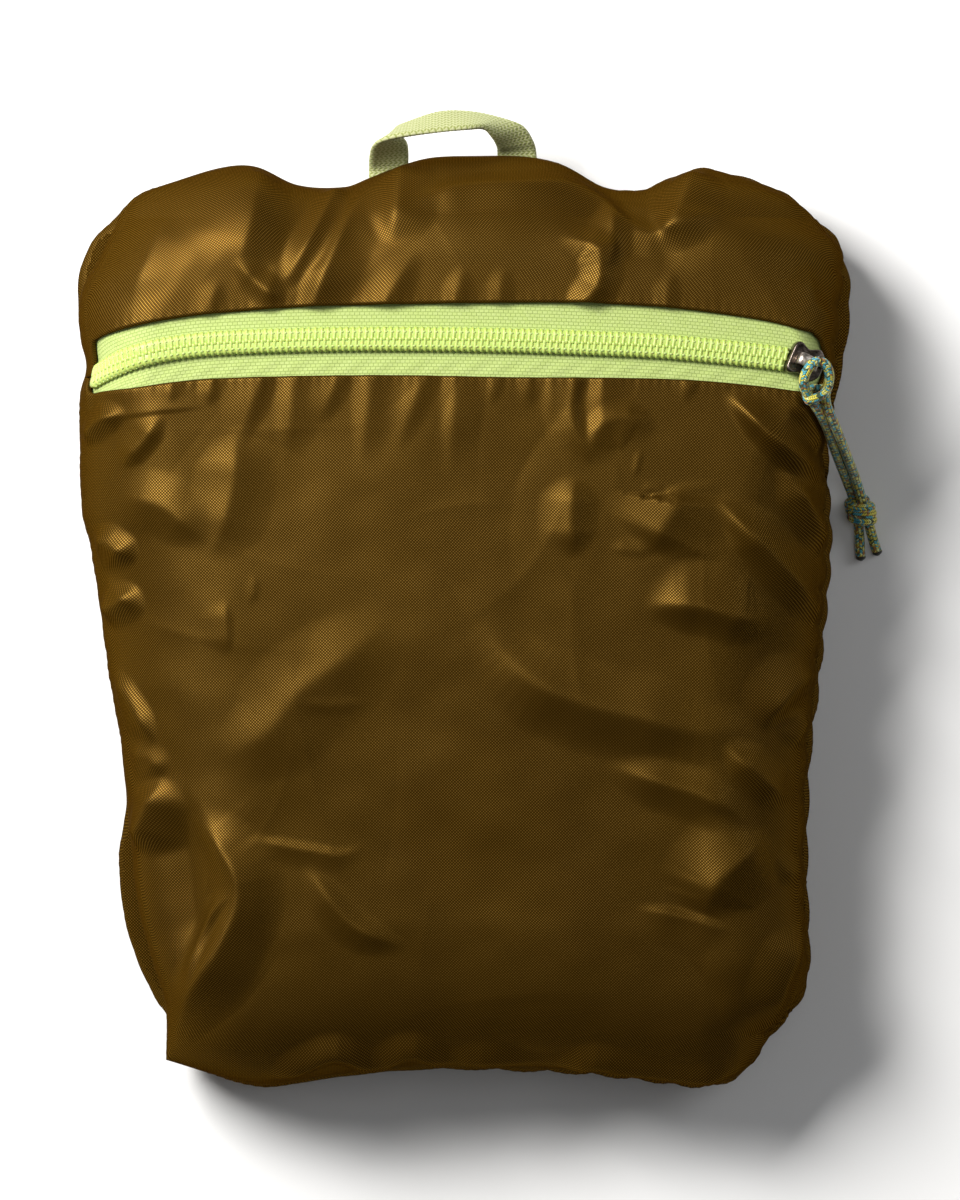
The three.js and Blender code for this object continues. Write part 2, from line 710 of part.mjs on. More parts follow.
// The slider's plate, with a waist between its two shoulders
function plateShape() {
  const [length, wide, waist] = [SLIDER_LENGTH / 2, SLIDER_WIDTH / 2, SLIDER_WAIST / 2];
  const shape = new THREE.Shape();
  shape.moveTo(-length, -wide * 0.9);
  shape.quadraticCurveTo(-length * 0.3, -waist * 0.8, length * 0.35, -wide);
  shape.quadraticCurveTo(length, -wide * 0.9, length, -waist * 0.4);
  shape.lineTo(length, waist * 0.4);
  shape.quadraticCurveTo(length, wide * 0.9, length * 0.35, wide);
  shape.quadraticCurveTo(-length * 0.3, waist * 0.8, -length, wide * 0.9);
  shape.closePath();
  return shape;
}

// The bail is a flat bar bent into an arch along the slider
function bailShape() {
  const half = SLIDER_LENGTH * 0.34;
  const inner = half - BAIL_BAR;
  const shape = new THREE.Shape();
  shape.moveTo(-half, 0);
  shape.quadraticCurveTo(-half, BAIL_RISE, 0, BAIL_RISE);
  shape.quadraticCurveTo(half, BAIL_RISE, half, 0);
  shape.lineTo(inner, 0);
  shape.quadraticCurveTo(inner, BAIL_RISE - BAIL_BAR, 0, BAIL_RISE - BAIL_BAR);
  shape.quadraticCurveTo(-inner, BAIL_RISE - BAIL_BAR, -inner, 0);
  shape.closePath();
  return shape;
}

// The slider is one casting: a body with a channel for the coil, and the bail on top
function sliderGeometry() {
  const channel = COIL_HEIGHT + 2 * GAP;
  const body = new THREE.ExtrudeGeometry(plateShape(), {
    depth: channel + SLIDER_PLATE - GAP,
    bevelEnabled: false,
    curveSegments: 4,
  });
  body.translate(0, 0, GAP);
  const tunnel = new THREE.BoxGeometry(2 * SLIDER_LENGTH, COIL_WIDTH + 2 * GAP, 2 * channel);
  const bail = new THREE.ExtrudeGeometry(bailShape(), {
    depth: BAIL_WIDTH,
    bevelEnabled: false,
    curveSegments: 4,
  });
  bail.translate(0, 0, -BAIL_WIDTH / 2);
  bail.rotateX(Math.PI / 2);
  bail.translate(0, 0, channel + SLIDER_PLATE * 0.8);
  const casting = toSolid(body).subtract(toSolid(tunnel)).add(toSolid(bail));
  return toGeometry(casting);
}

// Stands a piece on the tape at share u along the zip, square to the pouch and turned about its own upright
function standOnTape(mesh, u, turnDegrees) {
  const up = shellNormal(u, zipAt(u));
  const along = shellPoint(u + 0.004, zipAt(u + 0.004)).sub(shellPoint(u - 0.004, zipAt(u - 0.004)));
  const across = up.clone().cross(along).normalize();
  const frame = new THREE.Matrix4().makeBasis(across.clone().cross(up), across, up);
  mesh.quaternion.setFromRotationMatrix(frame);
  mesh.rotateZ(THREE.MathUtils.degToRad(turnDegrees));
  mesh.position.copy(sunkPoint(u, zipAt(u), TAPE_DEPTH));
}

// The webbing's two edges from its left leg over the bar to its right leg.
// x is a share of half LOOP_SPAN, y a share of LOOP_RISE above the pouch, z a share of WEBBING_WIDTH above the leg.
const LOOP_EDGES = [
  { ax: -1, ay: -0.6, az: 0, bx: -0.533, by: -0.6, bz: 0 },
  { ax: -1, ay: -0.25, az: 0, bx: -0.533, by: -0.25, bz: 0 },
  { ax: -0.99, ay: 0.02, az: 0.45, bx: -0.53, by: 0.1, bz: 0.1 },
  { ax: -0.94, ay: 0.24, az: 0.95, bx: -0.555, by: 0.36, bz: 0.18 },
  { ax: -0.78, ay: 0.36, az: 1.3, bx: -0.66, by: 0.6, bz: 0.45 },
  { ax: -0.53, ay: 0.44, az: 1.42, bx: -0.5, by: 0.76, bz: 0.52 },
  { ax: -0.15, ay: 0.52, az: 1.45, bx: -0.15, by: 0.97, bz: 0.56 },
  { ax: 0.18, ay: 0.58, az: 1.4, bx: 0.2, by: 0.97, bz: 0.52 },
  { ax: 0.36, ay: 0.6, az: 1.2, bx: 0.56, by: 0.84, bz: 0.42 },
  { ax: 0.46, ay: 0.42, az: 0.85, bx: 0.82, by: 0.7, bz: 0.4 },
  { ax: 0.52, ay: 0.24, az: 0.4, bx: 0.95, by: 0.4, bz: 0.22 },
  { ax: 0.533, ay: 0.06, az: 0.04, bx: 1, by: 0.06, bz: 0 },
  { ax: 0.533, ay: -0.6, az: 0, bx: 1, by: -0.6, bz: 0 },
];
const LOOP_STEPS = 26;

// Where a webbing edge lies: its row is in shares, and the loop is sewn in at the middle of the top edge
function loopPoint(x, y, z) {
  return new THREE.Vector3(
    LOOP_CENTRE_SHARE * HALF_WIDTH + (x * LOOP_SPAN) / 2,
    HALF_LENGTH + y * LOOP_RISE,
    LEG_HEIGHT + z * WEBBING_WIDTH,
  );
}

function loopGeometry() {
  const edgeA = new THREE.CatmullRomCurve3(LOOP_EDGES.map((row) => loopPoint(row.ax, row.ay, row.az)));
  const edgeB = new THREE.CatmullRomCurve3(LOOP_EDGES.map((row) => loopPoint(row.bx, row.by, row.bz)));
  const half = WEBBING_THICKNESS / 2;
  const stations = [];
  for (let s = 0; s <= LOOP_STEPS; s += 1) {
    const t = s / LOOP_STEPS;
    const [a, b] = [edgeA.getPoint(t), edgeB.getPoint(t)];
    const along = edgeA.getTangent(t).add(edgeB.getTangent(t)).normalize();
    const face = b.clone().sub(a).cross(along).normalize();
    stations.push([
      a.clone().addScaledVector(face, half),
      b.clone().addScaledVector(face, half),
      b.clone().addScaledVector(face, -half),
      a.clone().addScaledVector(face, -half),
    ]);
  }
  return sweptGeometry(stations);
}

// The openings in the seam that the loop's two legs pass through
function legSlots() {
  const middles = [LOOP_EDGES[0], LOOP_EDGES[LOOP_EDGES.length - 1]].map((row) => (row.ax + row.bx) / 2);
  const depth = 4 * LOOP_RISE;
  return middles.map((middle) => {
    const box = new THREE.BoxGeometry(
      WEBBING_WIDTH + 2 * GAP,
      depth,
      WEBBING_THICKNESS + 2 * GAP,
    );
    const centre = loopPoint(middle, 0, 0);
    box.translate(centre.x, centre.y, centre.z);
    return toSolid(box);
  });
}

function withLegSlots(geometry) {
  return toGeometry(legSlots().reduce((solid, slot) => solid.subtract(slot), toSolid(geometry)));
}

// The pull cord's two halves, from where they meet over the bail, round it, down the right side, through the
// knot and on to their tips, which lie on the same surface as the pouch
const CORD_LEFT = [
  [88.7, 65.4, 51.2],
  [88.0, 65.3, 51.6],
  [86.6, 64.4, 52.3],
  [85.2, 62.3, 53.2],
  [84.1, 59.8, 52.1],
  [84.1, 57.4, 50.3],
  [85.7, 55.2, 47.2],
  [87.9, 52.6, 44.2],
  [90.0, 49.0, 38.3],
  [91.8, 45.0, 30.7],
  [93.2, 41.5, 23.0],
  [94.6, 38.2, 15.5],
  [96.0, 35.0, 9.5],
  [97.2, 31.8, 6.0],
  [98.2, 27.6, 4.2],
  [98.9, 23.6, 2.9],
  [99.3, 20.0, 1.9],
  [99.5, 16.4, 1.5],
];
const CORD_RIGHT = [
  [89.05, 65.4, 51.0],
  [89.8, 65.3, 50.6],
  [91.2, 64.6, 49.8],
  [92.3, 62.5, 48.8],
  [92.3, 60.2, 48.0],
  [91.2, 57.8, 47.6],
  [90.3, 55.2, 46.6],
  [91.1, 52.3, 43.8],
  [92.8, 48.9, 39.0],
  [94.3, 45.3, 32.4],
  [95.7, 41.8, 24.8],
  [97.0, 38.6, 17.3],
  [98.1, 35.6, 11.8],
  [99.1, 32.2, 8.4],
  [100.3, 28.2, 6.1],
  [101.5, 24.4, 4.3],
  [102.6, 21.0, 2.6],
  [103.6, 17.8, 1.6],
];
const CORD_STEPS = 24;
const KNOT_ROW = 14;

// A round cord along a route
function cordGeometry(route) {
  const curve = new THREE.CatmullRomCurve3(route.map(([x, y, z]) => new THREE.Vector3(x, y, z)));
  const section = new THREE.Shape();
  section.absarc(0, 0, CORD_DIAMETER / 2, 0, 2 * Math.PI);
  return new THREE.ExtrudeGeometry(section, {
    steps: CORD_STEPS,
    curveSegments: 4,
    extrudePath: curve,
    bevelEnabled: false,
  });
}

// The knot is three turns of the cord round both strands, drawn as one solid with an oval way through
function knotGeometry() {
  const apart = CORD_DIAMETER + GAP;
  const holeLong = apart / 2 + CORD_DIAMETER / 2 + 2 * GAP;
  const holeShort = CORD_DIAMETER / 2 + 4 * GAP;
  const profile = [
    [0, -1.5],
    [0.6, -1.5],
    [0.95, -1],
    [0.8, -0.5],
    [1, 0],
    [0.85, 0.5],
    [0.97, 1],
    [0.6, 1.5],
    [0, 1.5],
  ].map(([share, up]) => new THREE.Vector2(share, up * KNOT_WRAP));
  const wraps = new THREE.LatheGeometry(profile, 14);
  wraps.scale(holeLong + 0.5 * KNOT_WRAP, 1, holeShort + 0.5 * KNOT_WRAP);
  const way = new THREE.CylinderGeometry(1, 1, 6 * KNOT_WRAP, 14);
  way.scale(holeLong, 1, holeShort);
  return toGeometry(toSolid(wraps).subtract(toSolid(way)));
}

// Stands the knot where the two strands run through it, its long way from one strand to the other
function placeKnot(mesh) {
  const [left, right] = [CORD_LEFT, CORD_RIGHT].map((route) => new THREE.Vector3(...route[KNOT_ROW]));
  const before = new THREE.Vector3(...CORD_LEFT[KNOT_ROW - 1]);
  const along = new THREE.Vector3(...CORD_LEFT[KNOT_ROW + 1]).sub(before).normalize();
  const apart = right.clone().sub(left).projectOnPlane(along).normalize();
  mesh.quaternion.setFromRotationMatrix(new THREE.Matrix4().makeBasis(apart, along, apart.clone().cross(along)));
  mesh.position.copy(left.add(right).multiplyScalar(0.5));
}

const OLIVE = new THREE.MeshStandardMaterial({ color: 0x5c4519, roughness: 0.5, metalness: 0 });
const LIME_TAPE = new THREE.MeshStandardMaterial({ color: 0xcfe38c, roughness: 0.8, metalness: 0 });
const LIME_COIL = new THREE.MeshStandardMaterial({ color: 0xc6da62, roughness: 0.35, metalness: 0 });
const GUNMETAL = new THREE.MeshStandardMaterial({ color: 0x4a433f, roughness: 0.3, metalness: 1 });
const BRAID = new THREE.MeshStandardMaterial({ color: 0x9fa04a, roughness: 0.7, metalness: 0 });

const pouch = new THREE.Group();

function addPiece(name, geometry, material) {
  const mesh = new THREE.Mesh(geometry, material);
  mesh.name = name;
  pouch.add(mesh);
  return mesh;
}

addPiece(
  "front_panel",
  panelGeometry({
    columns: 34,
    rows: 20,
    crowding: 0.6,
    from: bottomAt,
    to: (u) => openingEdge(u, -1),
    folds: FRONT_FOLDS,
    puckers: FRONT_PUCKERS,
    hemAtEnd: false,
  }),
  OLIVE,
);
addPiece(
  "top_panel",
  withLegSlots(
    panelGeometry({
      columns: 36,
      rows: 9,
      crowding: 0.5,
      from: (u) => openingEdge(u, 1),
      to: topAt,
      folds: TOP_FOLDS,
      puckers: TOP_PUCKERS,
      hemAtEnd: true,
    }),
  ),
  OLIVE,
);
addPiece("back_panel", withLegSlots(backGeometry()), OLIVE);
addPiece("packed_body", bodyGeometry(), OLIVE);
addPiece("zip_tape_upper", tapeGeometry(1), LIME_TAPE);
addPiece("zip_tape_lower", tapeGeometry(-1), LIME_TAPE);
addPiece("zip_coil", coilGeometry(), LIME_COIL);
standOnTape(addPiece("zip_slider", sliderGeometry(), GUNMETAL), SLIDER_AT, SLIDER_TURN);
const grabLoop = addPiece("grab_loop", loopGeometry(), LIME_TAPE);
addPiece("pull_cord_left", cordGeometry(CORD_LEFT), BRAID);
addPiece("pull_cord_right", cordGeometry(CORD_RIGHT), BRAID);
placeKnot(addPiece("pull_cord_knot", knotGeometry(), BRAID));

// The origin lies on the floor under the middle of the pouch with its loop
const loopTop = new THREE.Box3().setFromObject(grabLoop, true).max.y;
pouch.position.y = -(loopTop - HALF_LENGTH) / 2;

export default pouch;
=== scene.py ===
"""Looks for a backpack that is packed into its own zip pocket and lies on its back.

Tables and surface formulas are in millimetres, with +X to the right, +Y towards the grab loop and +Z up.
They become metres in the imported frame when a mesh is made.
"""

import logging
from dataclasses import dataclass
from enum import Enum
from typing import Any, NamedTuple, Sequence

import bpy
import numpy as np
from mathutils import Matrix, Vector


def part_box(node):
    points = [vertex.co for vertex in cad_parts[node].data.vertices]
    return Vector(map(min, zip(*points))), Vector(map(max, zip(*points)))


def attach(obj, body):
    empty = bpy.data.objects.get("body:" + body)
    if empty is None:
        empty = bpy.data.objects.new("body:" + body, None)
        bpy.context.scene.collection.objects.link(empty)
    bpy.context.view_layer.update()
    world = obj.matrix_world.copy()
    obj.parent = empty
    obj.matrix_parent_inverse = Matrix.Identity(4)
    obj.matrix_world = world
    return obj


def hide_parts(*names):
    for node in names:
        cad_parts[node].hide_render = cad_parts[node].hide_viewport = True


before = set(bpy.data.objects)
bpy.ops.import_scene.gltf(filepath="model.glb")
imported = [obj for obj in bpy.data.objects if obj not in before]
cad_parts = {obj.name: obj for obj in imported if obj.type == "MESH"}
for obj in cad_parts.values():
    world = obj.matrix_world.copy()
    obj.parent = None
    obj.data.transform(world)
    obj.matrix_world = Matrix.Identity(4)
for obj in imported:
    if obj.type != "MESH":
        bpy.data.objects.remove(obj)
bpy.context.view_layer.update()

LOG = logging.getLogger("pouch")
METRE = 0.001
Array = np.ndarray
Material = bpy.types.Material
Socket = bpy.types.NodeSocket
Place = tuple[float, float]
Spot = tuple[float, float, float]


class Side(NamedTuple):
    """One row of a side outline: place along the length, reach outwards and width of the roll, as shares."""

    at: float
    out: float
    roll: float


class Edge(NamedTuple):
    """One row of an end outline: place across and height, as shares."""

    at: float
    up: float


class ZipRow(NamedTuple):
    """One row of the zip: place across, height of the coil, and reach of the opening above and below it."""

    at: float
    up: float
    above: float
    below: float


class Peek(NamedTuple):
    """How far the back stands out past the front at a place along an outline, as a share."""

    at: float
    by: float


class Crease(NamedTuple):
    """A fold along a path in mm.

    Walked from its first point, it is lit on its flank to the left and dark on the one to the right.
    """

    path: tuple[Place, ...]
    lift: float
    lit: float
    dark: float
    crest: float = 0.8
    taper: float = 0.35


LEFT_SIDE = (
    Side(-0.94, 0.769, 0.5), Side(-0.833, 0.769, 0.7), Side(-0.779, 0.785, 0.8), Side(-0.704, 0.813, 0.9),
    Side(-0.596, 0.844, 1.0), Side(-0.36, 0.872, 1.1), Side(-0.242, 0.888, 1.1), Side(-0.124, 0.914, 1.1),
    Side(0.048, 0.942, 1.1), Side(0.167, 0.965, 1.0), Side(0.242, 0.986, 0.9), Side(0.392, 0.991, 0.8),
    Side(0.489, 0.99, 0.6), Side(0.553, 0.974, 0.55), Side(0.61, 0.99, 0.6), Side(0.66, 0.994, 0.7),
    Side(0.714, 0.986, 0.8), Side(0.794, 0.934, 0.8), Side(0.865, 0.893, 0.8),
)
RIGHT_SIDE = (
    Side(-0.886, 0.79, 0.6), Side(-0.843, 0.836, 0.7), Side(-0.79, 0.872, 0.8), Side(-0.725, 0.884, 0.8),
    Side(-0.532, 0.875, 0.8), Side(-0.295, 0.88, 0.8), Side(-0.177, 0.896, 0.9), Side(0.048, 0.924, 0.9),
    Side(0.177, 0.934, 0.8), Side(0.349, 0.926, 0.6), Side(0.478, 0.945, 0.32), Side(0.543, 0.953, 0.28),
    Side(0.596, 0.958, 0.32), Side(0.693, 0.967, 0.6), Side(0.757, 0.976, 0.8), Side(0.82, 0.957, 0.8),
    Side(0.865, 0.903, 0.8),
)
BOTTOM_EDGE = (
    Edge(0, -0.94), Edge(0.122, -0.987), Edge(0.172, -0.994), Edge(0.271, -0.974), Edge(0.387, -0.957),
    Edge(0.486, -0.953), Edge(0.668, -0.962), Edge(0.783, -0.979), Edge(0.883, -0.996), Edge(0.94, -0.979),
    Edge(0.969, -0.944), Edge(1, -0.886),
)
TOP_EDGE = (
    Edge(0, 0.865), Edge(0.03, 0.916), Edge(0.085, 0.949), Edge(0.154, 0.979), Edge(0.199, 0.979),
    Edge(0.258, 0.94), Edge(0.326, 0.936), Edge(0.362, 0.955), Edge(0.405, 0.981), Edge(0.448, 0.998),
    Edge(0.519, 1), Edge(0.591, 0.998), Edge(0.634, 0.983), Edge(0.696, 0.934), Edge(0.756, 0.927),
    Edge(0.785, 0.949), Edge(0.835, 0.974), Edge(0.892, 0.957), Edge(0.95, 0.927), Edge(0.978, 0.895),
    Edge(1, 0.865),
)
ZIP_LINE = (
    ZipRow(0.013, 0.525, 0.95, 0.48), ZipRow(0.026, 0.538, 0.91, 0.6), ZipRow(0.04, 0.549, 0.88, 0.71),
    ZipRow(0.073, 0.567, 0.82, 0.88), ZipRow(0.12, 0.583, 0.8, 0.95), ZipRow(0.173, 0.593, 0.82, 0.97),
    ZipRow(0.293, 0.601, 0.91, 1), ZipRow(0.426, 0.603, 0.96, 1.01), ZipRow(0.56, 0.6, 1.04, 1.02),
    ZipRow(0.66, 0.595, 1.1, 0.97), ZipRow(0.76, 0.588, 1.09, 0.9), ZipRow(0.827, 0.579, 1.06, 0.85),
    ZipRow(0.893, 0.568, 1, 0.83), ZipRow(0.93, 0.56, 0.94, 0.82), ZipRow(0.987, 0.545, 0.85, 0.8),
)
LEFT_PEEK = (
    Peek(-0.94, 0), Peek(-0.85, 0.05), Peek(-0.8, 0.65), Peek(-0.704, 1.1), Peek(-0.596, 1.2),
    Peek(-0.482, 1), Peek(-0.43, 0.5), Peek(-0.38, 0.1), Peek(0.48, 0.1), Peek(0.68, 0.15),
    Peek(0.753, 0.87), Peek(0.8, 1), Peek(0.865, 0.3),
)
RIGHT_PEEK = (
    Peek(-0.886, 0), Peek(-0.7, 0.2), Peek(0.2, 0.25), Peek(0.478, 0.35), Peek(0.596, 0.85),
    Peek(0.693, 0.85), Peek(0.757, 0.25), Peek(0.865, 0),
)
BOTTOM_PEEK = (Peek(0, 0), Peek(0.2, 0.25), Peek(0.6, 0.2), Peek(1, 0))
TOP_PEEK = (Peek(0, 0.3), Peek(0.1, 0), Peek(1, 0))


def cubic(values: Array, slopes: Array, i: Array, run: Array | float, s: Array) -> Array:
    """The cubic between two neighbouring values that has both values and both slopes.

    Args:
        values: the values, or points, in order.
        slopes: the slope at each of them.
        i: index of the value that the cubic starts from.
        run: length of the step from there to the next.
        s: share of that step.
    Returns:
        The value, or point, at the share.
    """
    return (
        values[i] * (1 + 2 * s) * (1 - s) ** 2
        + values[i + 1] * s * s * (3 - 2 * s)
        + slopes[i] * run * s * (1 - s) ** 2
        - slopes[i + 1] * run * s * s * (1 - s)
    )


def follow(rows: Sequence[NamedTuple], column: str, place: Array | float) -> Array:
    """Smooth value of one column of a table: between two rows, the cubic that has each row's value and slope.

    Args:
        rows: the table, in the order of at.
        column: the name of the value to read.
        place: the places to read it at.
    Returns:
        The values, in the shape of place.
    """
    at = np.array([row.at for row in rows], float)
    value = np.array([getattr(row, column) for row in rows], float)
    step = np.arange(len(at))
    before, after = np.maximum(step - 1, 0), np.minimum(step + 1, len(at) - 1)
    slope = (value[after] - value[before]) / (at[after] - at[before])
    place = np.clip(place, at[0], at[-1])
    i = np.clip(np.searchsorted(at, place) - 1, 0, len(at) - 2)
    run = at[i + 1] - at[i]
    return cubic(value, slope, i, run, (place - at[i]) / run)


def spread(steps: int, crowding: float) -> Array:
    """Steps from 0 to 1: a mix of even steps and of half a cosine wave, which crowds them at both ends."""
    even = np.linspace(0, 1, steps + 1)
    return (1 - crowding) * even + crowding * (1 - np.cos(np.pi * even)) / 2


def rolled(distance: Array, roll: Array | float) -> Array:
    """Quarter of an ellipse: 0 on the outline, and 1 from the roll's width inwards."""
    left = 1 - np.clip(distance / roll, 0, 1)
    return np.sqrt(1 - left * left)


def unit(vectors: Array) -> Array:
    """Each vector divided by its length."""
    return vectors / np.maximum(np.linalg.norm(vectors, axis=-1, keepdims=True), 1e-9)


def ease(share: Array) -> Array:
    """The smooth step 3s^2 - 2s^3 of a share that is kept between 0 and 1."""
    s = np.clip(share, 0, 1)
    return s * s * (3 - 2 * s)


def index_quads(index: Array) -> Array:
    """Quads between the neighbours in a grid of vertex numbers.

    Args:
        index: the grid.
    Returns:
        Four numbers to a quad, which faces along a step between columns crossed into one between rows.
    """
    corners = [index[:-1, :-1], index[:-1, 1:], index[1:, 1:], index[1:, :-1]]
    return np.stack(corners, -1).reshape(-1, 4)


def grid_quads(rows: int, columns: int, offset: int = 0, closed: bool = False) -> Array:
    """Quads of a grid whose vertices are numbered row by row.

    Args:
        rows: number of rows.
        columns: vertices in a row.
        offset: number of the first vertex.
        closed: whether each row's last vertex joins its first.
    Returns:
        Four numbers to a quad.
    """
    index = offset + np.arange(rows * columns).reshape(rows, columns)
    return index_quads(np.column_stack([index, index[:, 0]]) if closed else index)


def fan(ring: Array, middle: int) -> Array:
    """Triangles from each step of a closed ring of vertices to the vertex in its middle."""
    return np.column_stack([ring, np.roll(ring, -1), np.full(len(ring), middle)])


def lengths(path: Array) -> Array:
    """Length of a path up to each of its points."""
    return np.concatenate([[0], np.cumsum(np.linalg.norm(np.diff(path, axis=0), axis=1))])


def smooth_path(points: Array, spacing: float) -> Array:
    """A smooth curve through points: cubics whose slopes are those between the neighbours.

    Args:
        points: the points, as numbers with a fraction.
        spacing: the greatest distance between two points of the curve.
    Returns:
        Points at an even spacing.
    """
    chord = lengths(points)
    slope = np.gradient(points, chord, axis=0)
    steps_a_point = 40
    fine = np.linspace(0, chord[-1], steps_a_point * len(points))
    i = np.clip(np.searchsorted(chord, fine) - 1, 0, len(points) - 2)
    run = (chord[i + 1] - chord[i])[:, None]
    curve = cubic(points, slope, i, run, (fine - chord[i])[:, None] / run)
    length = lengths(curve)
    even = np.linspace(0, length[-1], int(length[-1] / spacing) + 2)
    return np.column_stack([np.interp(even, length, curve[:, axis]) for axis in range(points.shape[1])])


def crease_lift(x: Array, y: Array, creases: Sequence[Crease]) -> Array:
    """Height of a set of folds: each has a crest, and flanks that fall off as (1 - d/width)^1.5.

    Args:
        x: places across, in mm.
        y: places along, in mm.
        creases: the folds.
    Returns:
        The sum of the folds' heights, in mm.
    """
    total = np.zeros_like(x)
    for crease in creases:
        points = smooth_path(np.array(crease.path, float), 3.0)
        runs = np.linalg.norm(np.diff(points, axis=0), axis=1)
        starts = lengths(points)
        nearest = np.full_like(x, 1e9)
        side = np.zeros_like(x)
        along = np.zeros_like(x)
        for (ax, ay), (bx, by), run, start in zip(points, points[1:], runs, starts):
            dx, dy = (bx - ax) / run, (by - ay) / run
            t = np.clip((x - ax) * dx + (y - ay) * dy, 0, run)
            ox, oy = x - ax - t * dx, y - ay - t * dy
            distance = np.hypot(ox, oy)
            closer = distance < nearest
            nearest = np.where(closer, distance, nearest)
            side = np.where(closer, dx * (y - ay) - dy * (x - ax), side)
            along = np.where(closer, (start + t) / starts[-1], along)
        fade = ease(np.minimum(along, 1 - along) / crease.taper)
        lean = ease(0.5 + side / (2 * crease.crest + np.minimum(crease.lit, crease.dark)))
        width = (crease.dark + (crease.lit - crease.dark) * lean) * (0.45 + 0.55 * fade)
        away = (np.sqrt(nearest**2 + crease.crest**2) - crease.crest) / width
        total += crease.lift * fade * np.clip(1 - away, 0, 1) ** 1.5
    return total


def ripple(x: Array, y: Array, seed: int, longest: float, shortest: float, steepness: float) -> Array:
    """Faint unevenness of slack cloth: a sum of plane sine waves whose heights go with their lengths.

    Args:
        x: places across, in mm.
        y: places along, in mm.
        seed: start of the random draws.
        longest: longest wave, in mm.
        shortest: shortest wave, in mm.
        steepness: typical slope of one wave.
    Returns:
        Heights, in mm.
    """
    draw = np.random.default_rng(seed)
    total = np.zeros_like(x)
    for wave in np.geomspace(longest, shortest, 18):
        angle, phase = draw.uniform(0, np.pi), draw.uniform(0, 2 * np.pi)
        total += wave * steepness * np.sin(2 * np.pi * (x * np.cos(angle) + y * np.sin(angle)) / wave + phase)
    return total / (2 * np.pi)


def crinkle(x: Array, y: Array, seed: int, count: int, height: float) -> Array:
    """Faint sharp lines of thin cloth: bent lines that each show only in a patch of their own.

    A line falls off as e^(-d/width) aside of a bent middle line, and as a bell along it.

    Args:
        x: places across, in mm.
        y: places along, in mm.
        seed: start of the random draws.
        count: the number of lines.
        height: height of a line, in mm.
    Returns:
        Heights, in mm.
    """
    draw = np.random.default_rng(seed)
    total = np.zeros_like(x)
    for _ in range(count):
        cx, cy = draw.uniform(-92, 92), draw.uniform(-118, 112)
        angle, length, bend = draw.uniform(0, np.pi), draw.uniform(9, 26), draw.uniform(-0.012, 0.012)
        width, lift = draw.uniform(1.2, 3.2), height * draw.uniform(-0.7, 1)
        along = (x - cx) * np.cos(angle) + (y - cy) * np.sin(angle)
        aside = (y - cy) * np.cos(angle) - (x - cx) * np.sin(angle) + bend * along**2
        ridge = np.exp(-np.abs(aside) / width) * np.exp(-((along / length) ** 2))
        total += lift * width * ridge
    return total


